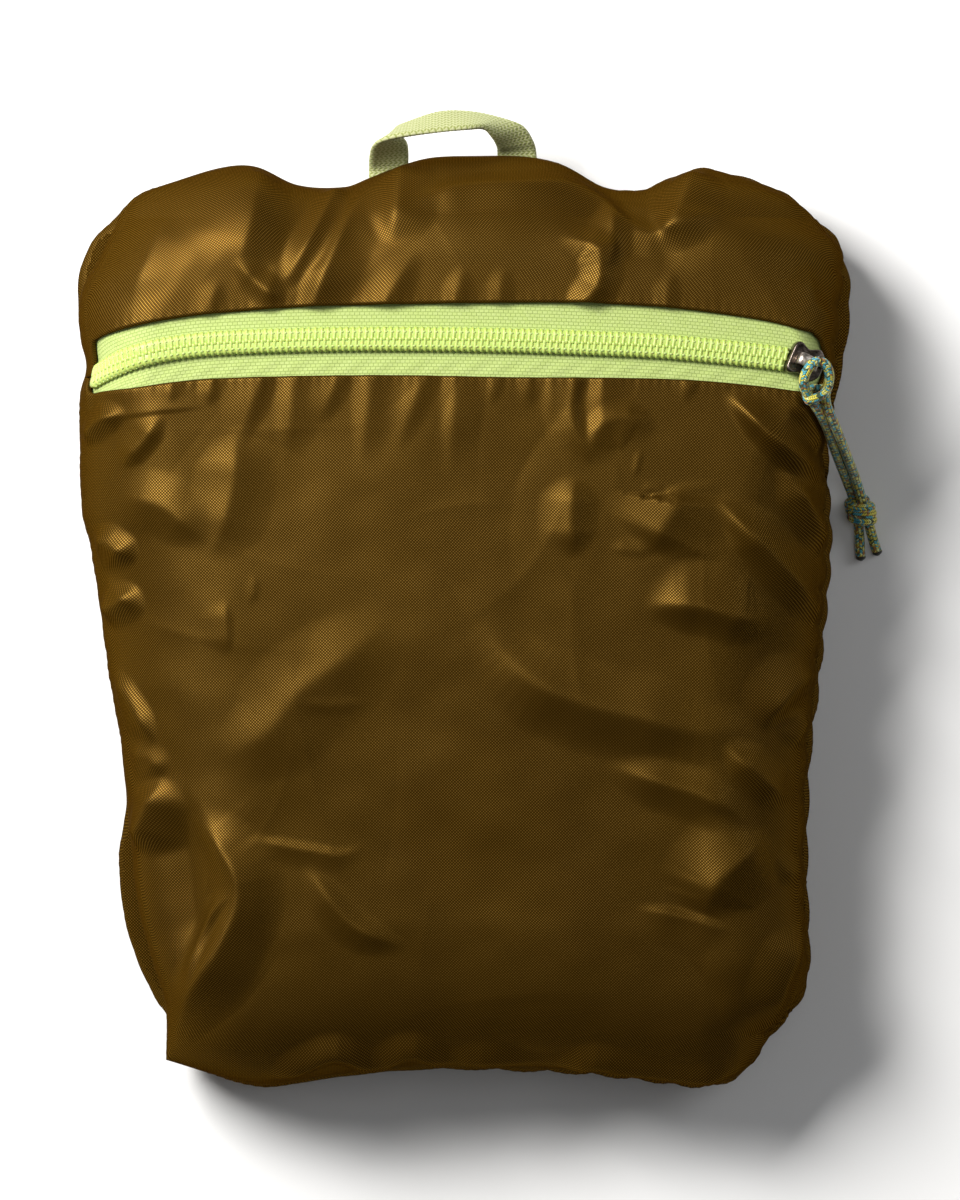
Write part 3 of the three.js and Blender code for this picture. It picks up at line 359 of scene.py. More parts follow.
@dataclass(frozen=True)
class PouchForm:
    """The stuffed outer form: a flat-topped dome that rolls over at every edge. Sizes are in mm."""

    width: float = 194
    length: float = 232.7
    thickness: float = 53
    widest_height: float = 22
    seam_height: float = 18
    gap: float = 0.3
    side_roll: float = 32
    bottom_roll: float = 38
    top_roll: float = 26
    crown_sag: float = 5
    hem_tuck: float = 1.5
    zip_half: float = 8.9
    tape_tuck: float = 3
    opening_left: float = 2
    opening_right: float = 2.3
    opening_left_round: float = 1.6
    opening_right_round: float = 5

    @property
    def half_width(self) -> float:
        """Half the width."""
        return self.width / 2

    @property
    def half_length(self) -> float:
        """Half the length."""
        return self.length / 2

    def left(self, y: Array) -> Array:
        """The left outline at a height."""
        return -self.half_width * follow(LEFT_SIDE, "out", y / self.half_length)

    def right(self, y: Array) -> Array:
        """The right outline at a height."""
        return self.half_width * follow(RIGHT_SIDE, "out", y / self.half_length)

    def bottom(self, u: Array) -> Array:
        """The bottom outline at a share across."""
        return self.half_length * follow(BOTTOM_EDGE, "up", u)

    def top(self, u: Array) -> Array:
        """The top outline at a share across."""
        return self.half_length * follow(TOP_EDGE, "up", u)

    def zip_line(self, u: Array) -> Array:
        """The coil's middle line at a share across."""
        return self.half_length * follow(ZIP_LINE, "up", u)

    def reach(self, u: Array, side: int) -> Array:
        """How far the opening reaches above the coil where side is 1, and below it where side is -1."""
        return self.zip_half * follow(ZIP_LINE, "above" if side > 0 else "below", u)

    def opening_edge(self, u: Array, side: int) -> Array:
        """The edge of a panel along the opening, rolled off square at the left and round at the right.

        Args:
            u: shares across.
            side: 1 above the coil and -1 below it.
        Returns:
            Heights.
        """
        line = self.zip_line(u)
        width = self.right(line) - self.left(line)
        left_end = rolled(u * width - self.opening_left, self.opening_left_round)
        right_end = rolled((1 - u) * width - self.opening_right, self.opening_right_round)
        return line + side * np.maximum(self.reach(u, side) * left_end * right_end, self.gap / 2)

    def beyond_opening(self, u: Array, y: Array) -> Array:
        """Distance beyond the opening's edge, on either side of the zip."""
        from_middle = y - self.zip_line(u)
        return np.abs(from_middle) - np.where(from_middle > 0, self.reach(u, 1), self.reach(u, -1))

    def inside_outline(self, u: Array, y: Array) -> Array:
        """Distance to the nearest part of the outline.

        Args:
            u: shares across.
            y: heights.
        Returns:
            Distances, in mm.
        """
        width = self.right(y) - self.left(y)
        sides = np.minimum(u, 1 - u) * width
        return np.minimum(sides, np.minimum(y - self.bottom(u), self.top(u) - y))

    def shell(self, u: Array, y: Array) -> Array:
        """Points of the form: the height is the product of four quarter ellipses, less the crown's sag.

        Args:
            u: shares across.
            y: heights.
        Returns:
            Points, with three numbers each.
        """
        left = self.left(y)
        width = self.right(y) - left
        x = left + u * width
        left_roll = self.side_roll * follow(LEFT_SIDE, "roll", y / self.half_length)
        right_roll = self.side_roll * follow(RIGHT_SIDE, "roll", y / self.half_length)
        sides = rolled(u * width, left_roll) * rolled((1 - u) * width, right_roll)
        ends = rolled(y - self.bottom(u), self.bottom_roll) * rolled(self.top(u) - y, self.top_roll)
        sag = self.crown_sag * ((x / self.half_width) ** 2 + (y / self.half_length) ** 2)
        rise = self.thickness - sag - self.widest_height
        return np.stack([x, y + 0 * x, self.widest_height + rise * sides * ends], -1)

    def normal(self, u: Array, y: Array) -> Array:
        """Outward directions of the form: the cross product of its steps across and along.

        Args:
            u: shares across.
            y: heights.
        Returns:
            Directions of unit length.
        """
        du, dy = 0.002, 0.4
        across = self.shell(np.minimum(u + du, 1), y) - self.shell(np.maximum(u - du, 0), y)
        along = self.shell(u, y + dy) - self.shell(u, y - dy)
        return unit(np.cross(across, along))

    def sunk(self, u: Array, y: Array, depth: Array | float) -> Array:
        """Points that lie a depth below the form, along its outward direction."""
        return self.shell(u, y) - self.normal(u, y) * np.asarray(depth)[..., None]


FORM = PouchForm()
LOOP_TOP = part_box("grab_loop")[1].y / METRE
# The frame's middle lies above the form's, because the loop stands past the top edge.
PLACE = np.array([0, FORM.half_length - LOOP_TOP, 0])


class Skin(NamedTuple):
    """A surface before it is a mesh: points in mm, groups of faces, and UV places in mm."""

    points: Array
    faces: list[Array]
    uv: Array | None = None


def joined(skins: Sequence[Skin]) -> Skin:
    """Several surfaces as one.

    Args:
        skins: the surfaces, either all with UV places or all without.
    Returns:
        One surface.
    """
    offset, faces = 0, []
    for skin in skins:
        faces += [group + offset for group in skin.faces]
        offset += len(skin.points)
    uv = None if skins[0].uv is None else np.concatenate([skin.uv for skin in skins])
    return Skin(np.concatenate([skin.points for skin in skins]), faces, uv)


def make_piece(
    name: str, skin: Skin, material: Material, nodes: Sequence[str] = (),
) -> bpy.types.Object:
    """Makes a smooth-shaded mesh object of a surface and gives it to the frame.

    Args:
        name: the piece's name.
        skin: its surface, in mm.
        material: its finish.
        nodes: the CAD nodes that it stands for.
    Returns:
        The new object.
    """
    mesh = bpy.data.meshes.new(name)
    corners = np.concatenate([group.ravel() for group in skin.faces]).astype(np.int32)
    sizes = np.concatenate([np.full(len(group), group.shape[1]) for group in skin.faces])
    starts = np.concatenate([[0], np.cumsum(sizes)[:-1]]).astype(np.int32)
    mesh.vertices.add(len(skin.points))
    mesh.vertices.foreach_set("co", ((skin.points + PLACE) * METRE).astype(np.float32).ravel())
    mesh.loops.add(len(corners))
    mesh.loops.foreach_set("vertex_index", corners)
    mesh.polygons.add(len(sizes))
    mesh.polygons.foreach_set("loop_start", starts)
    mesh.update(calc_edges=True)
    mesh.polygons.foreach_set("use_smooth", np.ones(len(sizes), bool))
    if skin.uv is not None:
        layer = mesh.uv_layers.new(name="Cloth")
        layer.uv.foreach_set("vector", skin.uv[corners].astype(np.float32).ravel())
    mesh.materials.append(material)
    piece = bpy.data.objects.new(name, mesh)
    bpy.context.scene.collection.objects.link(piece)
    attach(piece, "root")
    if nodes:
        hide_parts(*nodes)
    LOG.info("%s: %d faces", name, len(sizes))
    return piece


def linear(colour: str) -> tuple[float, float, float, float]:
    """An sRGB hex colour as linear light, with full alpha."""
    values = np.array([int(colour[i : i + 2], 16) for i in (0, 2, 4)]) / 255
    light = np.where(values <= 0.04045, values / 12.92, ((values + 0.055) / 1.055) ** 2.4)
    return (*light.tolist(), 1.0)


def add_node(
    tree: bpy.types.NodeTree, kind: str, inputs: dict[Any, Any] | None = None, **settings: Any,
) -> bpy.types.Node:
    """Adds a shader node.

    Args:
        tree: the tree that it goes into.
        kind: the node's type.
        inputs: values, or other nodes' outputs, by the name or index of the input that takes them.
        settings: the node's own settings.
    Returns:
        The new node.
    """
    node = tree.nodes.new(kind)
    for name, value in settings.items():
        setattr(node, name, value)
    for key, value in (inputs or {}).items():
        if isinstance(value, Socket):
            tree.links.new(value, node.inputs[key])
        else:
            node.inputs[key].default_value = value
    return node


class Maths(Enum):
    """The sums that patterns are worked out with."""

    ADD = "ADD"
    SUBTRACT = "SUBTRACT"
    MULTIPLY = "MULTIPLY"
    SINE = "SINE"
    FLOOR = "FLOOR"
    MODULO = "FLOORED_MODULO"
    PINGPONG = "PINGPONG"


@dataclass
class Recipe:
    """A material under construction: its tree and its main shader."""

    material: Material
    tree: bpy.types.NodeTree
    shader: bpy.types.Node

    @classmethod
    def start(cls, name: str, constants: dict[str, Any]) -> "Recipe":
        """Starts a material.

        Args:
            name: its name.
            constants: values of the main shader, by input.
        Returns:
            The recipe, with its main shader joined to the output.
        """
        material = bpy.data.materials.new(name)
        material.use_nodes = True
        tree = material.node_tree
        tree.nodes.clear()
        shader = add_node(tree, "ShaderNodeBsdfPrincipled", constants)
        add_node(tree, "ShaderNodeOutputMaterial", {"Surface": shader.outputs["BSDF"]})
        return cls(material, tree, shader)

    def sum(self, kind: Maths, first: Any, second: Any = 0.0) -> Socket:
        """The result of one sum of two values."""
        return add_node(self.tree, "ShaderNodeMath", {0: first, 1: second}, operation=kind.value).outputs[0]

    def cloth_places(self) -> tuple[Socket, Socket]:
        """The piece's own UV places, in mm across and along."""
        source = add_node(self.tree, "ShaderNodeUVMap", uv_map="Cloth")
        split = add_node(self.tree, "ShaderNodeSeparateXYZ", {0: source.outputs[0]})
        return split.outputs[0], split.outputs[1]

    def object_noise(self, scale: float, detail: float = 2.0, roughness: float = 0.5) -> Socket:
        """Noise in space.

        Args:
            scale: patches per metre.
            detail: how many finer layers it has.
            roughness: how strong these are.
        Returns:
            Values from 0 to 1.
        """
        place = add_node(self.tree, "ShaderNodeTexCoord").outputs["Object"]
        inputs = {"Vector": place, "Scale": scale, "Detail": detail, "Roughness": roughness}
        return add_node(self.tree, "ShaderNodeTexNoise", inputs).outputs[0]

    def wave(self, place: Socket, pitch: float) -> Socket:
        """A sine wave of a place, with a pitch in mm."""
        return self.sum(Maths.SINE, self.sum(Maths.MULTIPLY, place, 2 * np.pi / pitch))

    def mixed(self, share: Any, first: Any, second: Any) -> Socket:
        """Two colours mixed by a share."""
        inputs = {0: share, 6: first, 7: second}
        return add_node(self.tree, "ShaderNodeMix", inputs, data_type="RGBA").outputs[2]

    def ranged(
        self, value: Socket, low: float, high: float, to_low: float = 0.0, to_high: float = 1.0,
    ) -> Socket:
        """A value moved smoothly from one range to another.

        Args:
            value: the value.
            low: start of its range.
            high: end of its range.
            to_low: start of the new range.
            to_high: end of the new range.
        Returns:
            The moved value.
        """
        inputs = {0: value, 1: low, 2: high, 3: to_low, 4: to_high}
        node = add_node(self.tree, "ShaderNodeMapRange", inputs, interpolation_type="SMOOTHSTEP")
        return node.outputs[0]

    def bump(self, height: Socket, depth_mm: float, strength: float = 1.0) -> None:
        """Raises the shading.

        Args:
            height: height from 0 to 1.
            depth_mm: what a height of 1 stands for.
            strength: share of the effect.
        """
        inputs = {"Height": height, "Distance": depth_mm * METRE, "Strength": strength}
        node = add_node(self.tree, "ShaderNodeBump", inputs)
        self.tree.links.new(node.outputs[0], self.shader.inputs["Normal"])

    def colour(self, socket: Socket) -> None:
        """Gives the main shader its colour."""
        self.tree.links.new(socket, self.shader.inputs["Base Color"])

    def second_shader(self, share: float, constants: dict[str, Any]) -> None:
        """Mixes in a second shader, which has the first one's bump.

        Args:
            share: its share of the mix.
            constants: its values, by input.
        """
        second = add_node(self.tree, "ShaderNodeBsdfPrincipled", constants)
        bump = self.shader.inputs["Normal"]
        if bump.is_linked:
            self.tree.links.new(bump.links[0].from_socket, second.inputs["Normal"])
        shaders = {0: share, 1: self.shader.outputs[0], 2: second.outputs[0]}
        both = add_node(self.tree, "ShaderNodeMixShader", shaders)
        output = next(node for node in self.tree.nodes if node.type == "OUTPUT_MATERIAL")
        self.tree.links.new(both.outputs[0], output.inputs["Surface"])


@dataclass(frozen=True)
class ShotNylon:
    """Thin plain-woven nylon with brown and olive yarns: dark face on, golden where it leans to the light."""

    yarn: str = "382503"
    shaded_yarn: str = "2c1b03"
    crown: str = "bd9447"
    gap: str = "2f210b"
    edge_tint: str = "6b4a20"
    lustre_share: float = 0.34
    thread_spacing: float = 0.38
    roughness: float = 0.49

    def material(self) -> Material:
        """Builds the finish: dull yarn mixed with the golden lustre of the yarns' crowns.

        The weave is drawn about one and a half times as coarse as it is, so that it shows.

        Returns:
            The material.
        """
        recipe = Recipe.start("shot_nylon", {"Roughness": 0.8, "Specular IOR Level": 0.0})
        across, along = recipe.cloth_places()
        pitch = 2 * self.thread_spacing
        crossing = recipe.sum(Maths.MULTIPLY, recipe.wave(across, pitch), recipe.wave(along, pitch))
        patches = recipe.ranged(recipe.object_noise(30.0, 3.0), 0.3, 0.7, 0.6, 1.0)
        recipe.colour(recipe.mixed(patches, linear(self.shaded_yarn), linear(self.yarn)))
        recipe.bump(recipe.ranged(crossing, -1.0, 1.0), 0.06, 0.4)
        golden = recipe.mixed(recipe.ranged(crossing, -0.1, 0.8), linear(self.gap), linear(self.crown))
        lustre = {
            "Metallic": 1.0, "Roughness": self.roughness, "Base Color": golden,
            "Specular Tint": linear(self.edge_tint),
        }
        recipe.second_shader(self.lustre_share, lustre)
        return recipe.material


@dataclass(frozen=True)
class WovenTape:
    """Polyester zip tape in a blocky weave: pale lime and matte."""

    light: str = "b4c47a"
    second_light: str = "b0c172"
    shade: str = "96aa5a"
    sheen: str = "f4ffc0"
    block_width: float = 1.2
    block_height: float = 0.85
    roughness: float = 0.75

    def material(self) -> Material:
        """Builds the finish from staggered blocks of yarn with shaded gaps between them.

        Returns:
            The material.
        """
        constants = {
            "Roughness": self.roughness, "Specular IOR Level": 0.3,
            "Sheen Weight": 0.15, "Sheen Tint": linear(self.sheen),
        }
        recipe = Recipe.start("woven_zip_tape", constants)
        blocks = {
            "Vector": add_node(recipe.tree, "ShaderNodeUVMap", uv_map="Cloth").outputs[0],
            "Color1": linear(self.light), "Color2": linear(self.second_light),
            "Mortar": linear(self.shade), "Scale": 1.0, "Mortar Size": 0.13, "Mortar Smooth": 1.0,
            "Brick Width": self.block_width, "Row Height": self.block_height,
        }
        weave = add_node(recipe.tree, "ShaderNodeTexBrick", blocks, offset=0.5)
        recipe.colour(weave.outputs["Color"])
        recipe.bump(recipe.sum(Maths.SUBTRACT, 1.0, weave.outputs["Fac"]), 0.12, 0.7)
        return recipe.material


@dataclass(frozen=True)
class CoilFilament:
    """Polyester monofilament of the zip's coil: yellow lime, smooth and slightly clear."""

    base: str = "b0c45e"
    second_base: str = "b8cb6a"
    roughness: float = 0.45

    def material(self) -> Material:
        """Builds the finish, with a faint change of tone from tooth to tooth.

        Returns:
            The material.
        """
        constants = {
            "Roughness": self.roughness, "IOR": 1.55,
            "Subsurface Weight": 0.15, "Subsurface Scale": 0.001,
        }
        recipe = Recipe.start("coil_filament", constants)
        tone = recipe.ranged(recipe.object_noise(900.0), 0.3, 0.7)
        recipe.colour(recipe.mixed(tone, linear(self.base), linear(self.second_base)))
        return recipe.material


@dataclass(frozen=True)
class SewingThread:
    """Spun polyester thread that sews the coil down: paler than the tape."""

    base: str = "c2d284"
    shade: str = "b2c66c"

    def material(self) -> Material:
        """Builds the finish, matte with a fine twist.

        Returns:
            The material.
        """
        recipe = Recipe.start("sewing_thread", {"Roughness": 0.65, "Sheen Weight": 0.3})
        tone = recipe.ranged(recipe.object_noise(2500.0), 0.3, 0.7)
        recipe.colour(recipe.mixed(tone, linear(self.shade), linear(self.base)))
        return recipe.material


@dataclass(frozen=True)
class PlatedCasting:
    """Zinc casting plated gunmetal: dark, with brighter metal in worn patches."""

    name: str = "gunmetal_plating"
    base: str = "4a423c"
    rubbed_and_highlight: str = "70665e"
    roughness: float = 0.28

    def material(self) -> Material:
        """Builds the finish, with fine tumbling marks in the bump.

        Returns:
            The material.
        """
        recipe = Recipe.start(self.name, {"Metallic": 1.0, "Roughness": self.roughness})
        marks = recipe.object_noise(1800.0, 4.0, 0.7)
        recipe.colour(recipe.mixed(recipe.ranged(marks, 0.35, 0.65), linear(self.base), linear(self.rubbed_and_highlight)))
        recipe.bump(marks, 0.02, 0.4)
        return recipe.material


@dataclass(frozen=True)
class RibbedWebbing:
    """Narrow polyester webbing with fine ribs along it: pale lime."""

    light: str = "b0b382"
    shade: str = "868e48"
    sheen: str = "f6ffcf"
    rib: float = 0.8

    def material(self) -> Material:
        """Builds the finish from rows of small chevrons.

        Returns:
            The material.
        """
        constants = {"Roughness": 0.7, "Sheen Weight": 0.3, "Sheen Tint": linear(self.sheen)}
        recipe = Recipe.start("ribbed_webbing", constants)
        across, along = recipe.cloth_places()
        zigzag = recipe.sum(Maths.PINGPONG, along, self.rib)
        ribs = recipe.wave(recipe.sum(Maths.ADD, across, zigzag), 1.5 * self.rib)
        picks = recipe.wave(along, self.rib)
        height = recipe.ranged(recipe.sum(Maths.ADD, ribs, recipe.sum(Maths.MULTIPLY, picks, 0.6)), -1.4, 1.4)
        recipe.colour(recipe.mixed(recipe.ranged(height, 0.1, 0.6), linear(self.shade), linear(self.light)))
        recipe.bump(height, 0.12, 0.8)
        return recipe.material


@dataclass(frozen=True)
class BraidedCord:
    """Braid of yellow lime, teal, rust, pale and dark polyester yarns: lively flecks, a little glossy."""

    columns: int = 5
    fleck: float = 0.42
    slant: float = 0.45
    painted_groove_shade: str = "1d2a16"
    first_yarn: str = "ece04c"
    later_yarns: tuple[tuple[float, str], ...] = (
        (0.34, "4cb8ca"), (0.6, "bf7a2a"), (0.74, "f0f6a6"), (0.84, "35522e"),
    )

    def material(self) -> Material:
        """Builds the finish: columns along the cord, whose flecks slant one way and then the other.

        Each fleck is one yarn, drawn at random. A yarn's number is where its share of the draws starts.

        Returns:
            The material.
        """
        constants = {"Roughness": 0.55, "Sheen Weight": 0.2, "Sheen Roughness": 0.5}
        recipe = Recipe.start("braided_cord", constants)
        around, along = recipe.cloth_places()
        turn = recipe.sum(Maths.MULTIPLY, around, float(self.columns))
        column = recipe.sum(Maths.FLOOR, turn)
        inside = recipe.sum(Maths.SUBTRACT, turn, column)
        every_other = recipe.sum(Maths.MODULO, column, 2.0)
        way = recipe.sum(Maths.SUBTRACT, recipe.sum(Maths.MULTIPLY, every_other, 2.0), 1.0)
        climb = recipe.sum(Maths.MULTIPLY, recipe.sum(Maths.MULTIPLY, inside, way), self.slant)
        row = recipe.sum(Maths.MULTIPLY, recipe.sum(Maths.ADD, along, climb), 1.0 / self.fleck)
        number = recipe.sum(Maths.FLOOR, row)
        place = add_node(recipe.tree, "ShaderNodeCombineXYZ", {0: column, 1: number}).outputs[0]
        draw = add_node(recipe.tree, "ShaderNodeTexWhiteNoise", {"Vector": place}, noise_dimensions="2D")
        ramp = add_node(recipe.tree, "ShaderNodeValToRGB", {0: draw.outputs["Value"]})
        yarns = ramp.color_ramp
        yarns.interpolation = "CONSTANT"
        yarns.elements[0].color = linear(self.first_yarn)
        *between, (last_start, last_yarn) = self.later_yarns
        yarns.elements[1].color = linear(last_yarn)
        yarns.elements[1].position = last_start
        for start, yarn in between:
            yarns.elements.new(start).color = linear(yarn)
        middle = recipe.sum(
            Maths.MULTIPLY, recipe.sum(Maths.PINGPONG, turn, 0.5), recipe.sum(Maths.PINGPONG, row, 0.5)
        )
        # Painted shade: the yarn colours darken to a dark green along the lines where the flecks meet.
        painted_groove_shade = recipe.ranged(middle, 0.0, 0.05, 0.95, 0.0)
        recipe.colour(recipe.mixed(painted_groove_shade, ramp.outputs[0], linear(self.painted_groove_shade)))
        recipe.bump(recipe.ranged(middle, 0.0, 0.2), 0.25, 0.9)
        return recipe.material


@dataclass(frozen=True)
class MeltedTip:
    """Cord end sealed with heat: hard, black and a little glossy."""

    base: str = "14130f"
    singed: str = "3a3a2a"

    def material(self) -> Material:
        """Builds the finish, lumpy from melting.

        Returns:
            The material.
        """
        recipe = Recipe.start("melted_tip", {"Roughness": 0.4})
        lumps = recipe.object_noise(1500.0, 3.0)
        recipe.colour(recipe.mixed(recipe.ranged(lumps, 0.4, 0.7), linear(self.base), linear(self.singed)))
        recipe.bump(lumps, 0.15, 0.7)
        return recipe.material


@dataclass(frozen=True)
class StudioPaper:
    """Matte white paper on the studio table."""

    base: str = "f4f4f4"
    cloudy: str = "f8f8f8"

    def material(self) -> Material:
        """Builds the finish, with the faint cloudiness of paper.

        Returns:
            The material.
        """
        recipe = Recipe.start("studio_paper", {"Roughness": 0.95, "Specular IOR Level": 0.2})
        recipe.colour(recipe.mixed(recipe.object_noise(8.0), linear(self.base), linear(self.cloudy)))
        return recipe.material


def gather(foot: Place, head: Place, lift: float, lit: float, dark: float) -> Crease:
    """A crest that fades out at its foot, and runs on past its head at full height, under the zip's edge.

    Args:
        foot: where it starts.
        head: where it meets the zip's edge.
        lift: its height.
        lit: width of its flank to the left.
        dark: width of its flank to the right.
    Returns:
        The fold.
    """
    beyond = (2 * head[0] - foot[0], 2 * head[1] - foot[1])
    return Crease((foot, head, beyond), lift, lit, dark, 0.8, 0.4)


# Gathers below the zip, from left to right: a valley lies between each pair of crests.
ZIP_GATHERS = (
    gather((-73.3, 54), (-72.1, 58.1), 0.4, 3, 2),
    gather((-63.5, 53), (-62.6, 58.6), 0.6, 3, 2.5),
    gather((-56.6, 42), (-50.6, 59.6), 0.95, 8, 4),
    gather((-43.6, 39), (-41.9, 59.6), 0.95, 4.5, 8),
    gather((-36.5, 48), (-31.6, 59.6), 0.8, 6, 3.5),
    gather((-25.2, 37), (-22.9, 59.6), 0.85, 4, 7),
    gather((-17.4, 41), (-10.4, 59.6), 0.85, 7, 4),
    gather((-3.2, 34), (-1.9, 59.6), 0.8, 3.5, 7),
    gather((6.4, 53), (7.6, 59.6), 0.45, 3, 2),
    gather((15.4, 52), (15.9, 59.6), 0.5, 2.5, 3),
    gather((21.4, 49), (21.4, 59.6), 0.6, 3.5, 4),
    Crease(((31.4, 38.1), (28.1, 45.6), (26.4, 53.1), (27.4, 59.6), (31, 76)), 1.4, 7, 2.8, 0.6, 0.3),
    gather((33.6, 44), (34.4, 59.6), 1.3, 4.5, 7),
    gather((54.0, 54), (55.9, 59.6), 0.5, 3, 2),
)
UPPER_LEFT_CREASES = (
    Crease(((-93.6, 50), (-94.2, 60), (-93.4, 74)), 1.0, 2, 1.2),
    Crease(((-63.1, 15.1), (-59.1, 25.1), (-56.4, 38.1), (-56.6, 49)), 1.6, 10, 10),
    Crease(((-95.1, 43.6), (-90.4, 49.6), (-83.6, 52.6)), 2.4, 4, 3.5),
    Crease(((-85.6, 38.6), (-79.6, 44.1), (-74.6, 51.9)), 1.6, 6, 3),
    Crease(((-89.9, 50.4), (-76.1, 52.4), (-63.1, 53.6)), 0.3, 3, 0.8, 0.3),
    Crease(((-63.1, 19.4), (-74.9, 28.9), (-87.4, 31.4)), 1.3, 7, 8),
    Crease(((-92.9, 21.6), (-88.1, 20.6), (-81.6, 14.6)), 3.2, 4, 7),
    Crease(((-91.9, 3.6), (-85.6, 4.1), (-81.1, 9.6)), 3.2, 8, 5),
    Crease(((-76.9, -31.4), (-79.9, -23.9), (-88.1, -10.4)), 2.2, 6, 2.5),
    Crease(((-58.6, -8.1), (-59.1, 6.1)), 0.5, 7, 2, 0.3),
    Crease(((-53.6, 4.6), (-51.6, 8.1), (-52.6, 12.1)), 0.2, 2.5, 1.2, 0.3),
    Crease(((-62.4, -34.9), (-47.4, -26.4), (-41.1, -18.1), (-28.6, -8.6), (-16.6, 3.1)), 1.9, 12, 13, 1.5),
    Crease(((-42.1, -19.6), (-33.6, -20.4), (-23.1, -19.6)), 0.25, 2, 2.5, 0.4),
)
UPPER_RIGHT_CREASES = (
    Crease(((30.9, 38.6), (33.4, 48.1), (40.1, 50.9), (47.6, 46.6)), 1.3, 4, 8),
    Crease(((42.1, 35.6), (43.6, 43.1)), 0.3, 1.5, 1, 0.2),
    Crease(((43.4, 33.4), (49.9, 32.9)), 0.25, 2, 1.2, 0.2),
    Crease(((26.9, 15.6), (26.4, 25.6), (27.6, 36.9)), 1.9, 8, 6.5),
    Crease(((45.9, 16.6), (48.9, 23.1), (52.9, 30.6), (51.9, 34.6)), 3, 15, 16),
    Crease(((35.4, 18.6), (47.6, 17.6)), 0.4, 3, 2, 0.4),
    Crease(((43.9, 4.1), (58.9, 4.1), (70.9, 0.6), (77.4, 1.6)), 3, 11, 7),
    Crease(((90, 33.6), (76.4, 45.4), (64.4, 57.4)), 3.8, 4, 6.5),
    Crease(((91, 15.6), (83.9, 28.1), (77.9, 39.1)), 3.4, 4.5, 6),
    Crease(((91, -2), (74.4, 17.1), (61.9, 31.6)), 3.8, 5, 8),
    Crease(((89.9, 41.1), (84.6, 51.1), (81.4, 55.6)), 1.4, 2, 2.5),
    Crease(((73.1, -26.9), (76.9, -20.4), (81.4, -15.1), (87.9, -9.6)), 3, 9, 5),
    Crease(((80.9, -31.9), (83.1, -26.4), (85.9, -21.4)), 1.8, 5, 3),
    Crease(
        ((4, 2), (10, -8), (17, -14.5), (27, -19), (43.9, -23.4), (58.9, -27.1), (71.9, -24.9)),
        3, 10, 11, 1.5,
    ),
)
LOWER_RIGHT_CREASES = (
    Crease(((34.6, -35.1), (46.4, -38.9), (59.4, -43.1), (73.4, -51.6)), 2.1, 6, 7),
    Crease(((82.9, -44.6), (76.4, -41.9), (70.1, -35.9), (64.4, -29.4)), 2.7, 4, 6.5),
    Crease(((59.4, -74.4), (61.9, -65.4), (68.9, -57.9), (75.9, -51.4)), 3.5, 14, 12),
    Crease(((41.9, -71.1), (50.9, -72.4), (59.4, -74.6), (67.6, -77.1)), 1.1, 2, 9, 0.4),
    Crease(((75.4, -103.4), (77.9, -91.9), (81.4, -81.9), (85.4, -73.4)), 2.6, 7, 3.5),
    Crease(((78.4, -64.4), (82.6, -61.4), (85.9, -57.4)), 1.4, 5, 4),
)
LOWER_LEFT_CREASES = (
    Crease(((-70.6, -92.6), (-69.6, -81.9), (-70.6, -69.4), (-71.6, -56.9), (-74.6, -39.9)), -4.5, 8, 9, 2.5),
    Crease(((-81.9, -58.1), (-78.6, -49.9), (-76.1, -42.4), (-74.9, -37.9)), 3.5, 7, 8),
    Crease(((-84.1, -32.4), (-78.6, -33.6), (-74.6, -38.4)), 1.4, 4, 6),
    Crease(
        (
            (-73.1, -105.6), (-69.6, -96.9), (-65.1, -88.1), (-60.1, -79.4), (-56.4, -70.6), (-56.1, -64.4),
            (-59.6, -56.9), (-65.4, -50.4), (-69.4, -45.1),
        ),
        4.2, 8, 11,
    ),
    Crease(((-68.6, -91.4), (-67.1, -79.4), (-62.6, -70.9), (-57.1, -66.4)), 1.8, 4, 2),
    Crease(
        ((-56.6, -53.9), (-50.6, -54.4), (-38.1, -56.4), (-29.6, -57.4), (-24.1, -54.9)),
        0.8, 1.6, 5, 0.3,
    ),
    Crease(((-14.1, -81.9), (-28.1, -74.9), (-36.6, -64.4), (-40.1, -59.9)), 1.6, 5.5, 4),
)
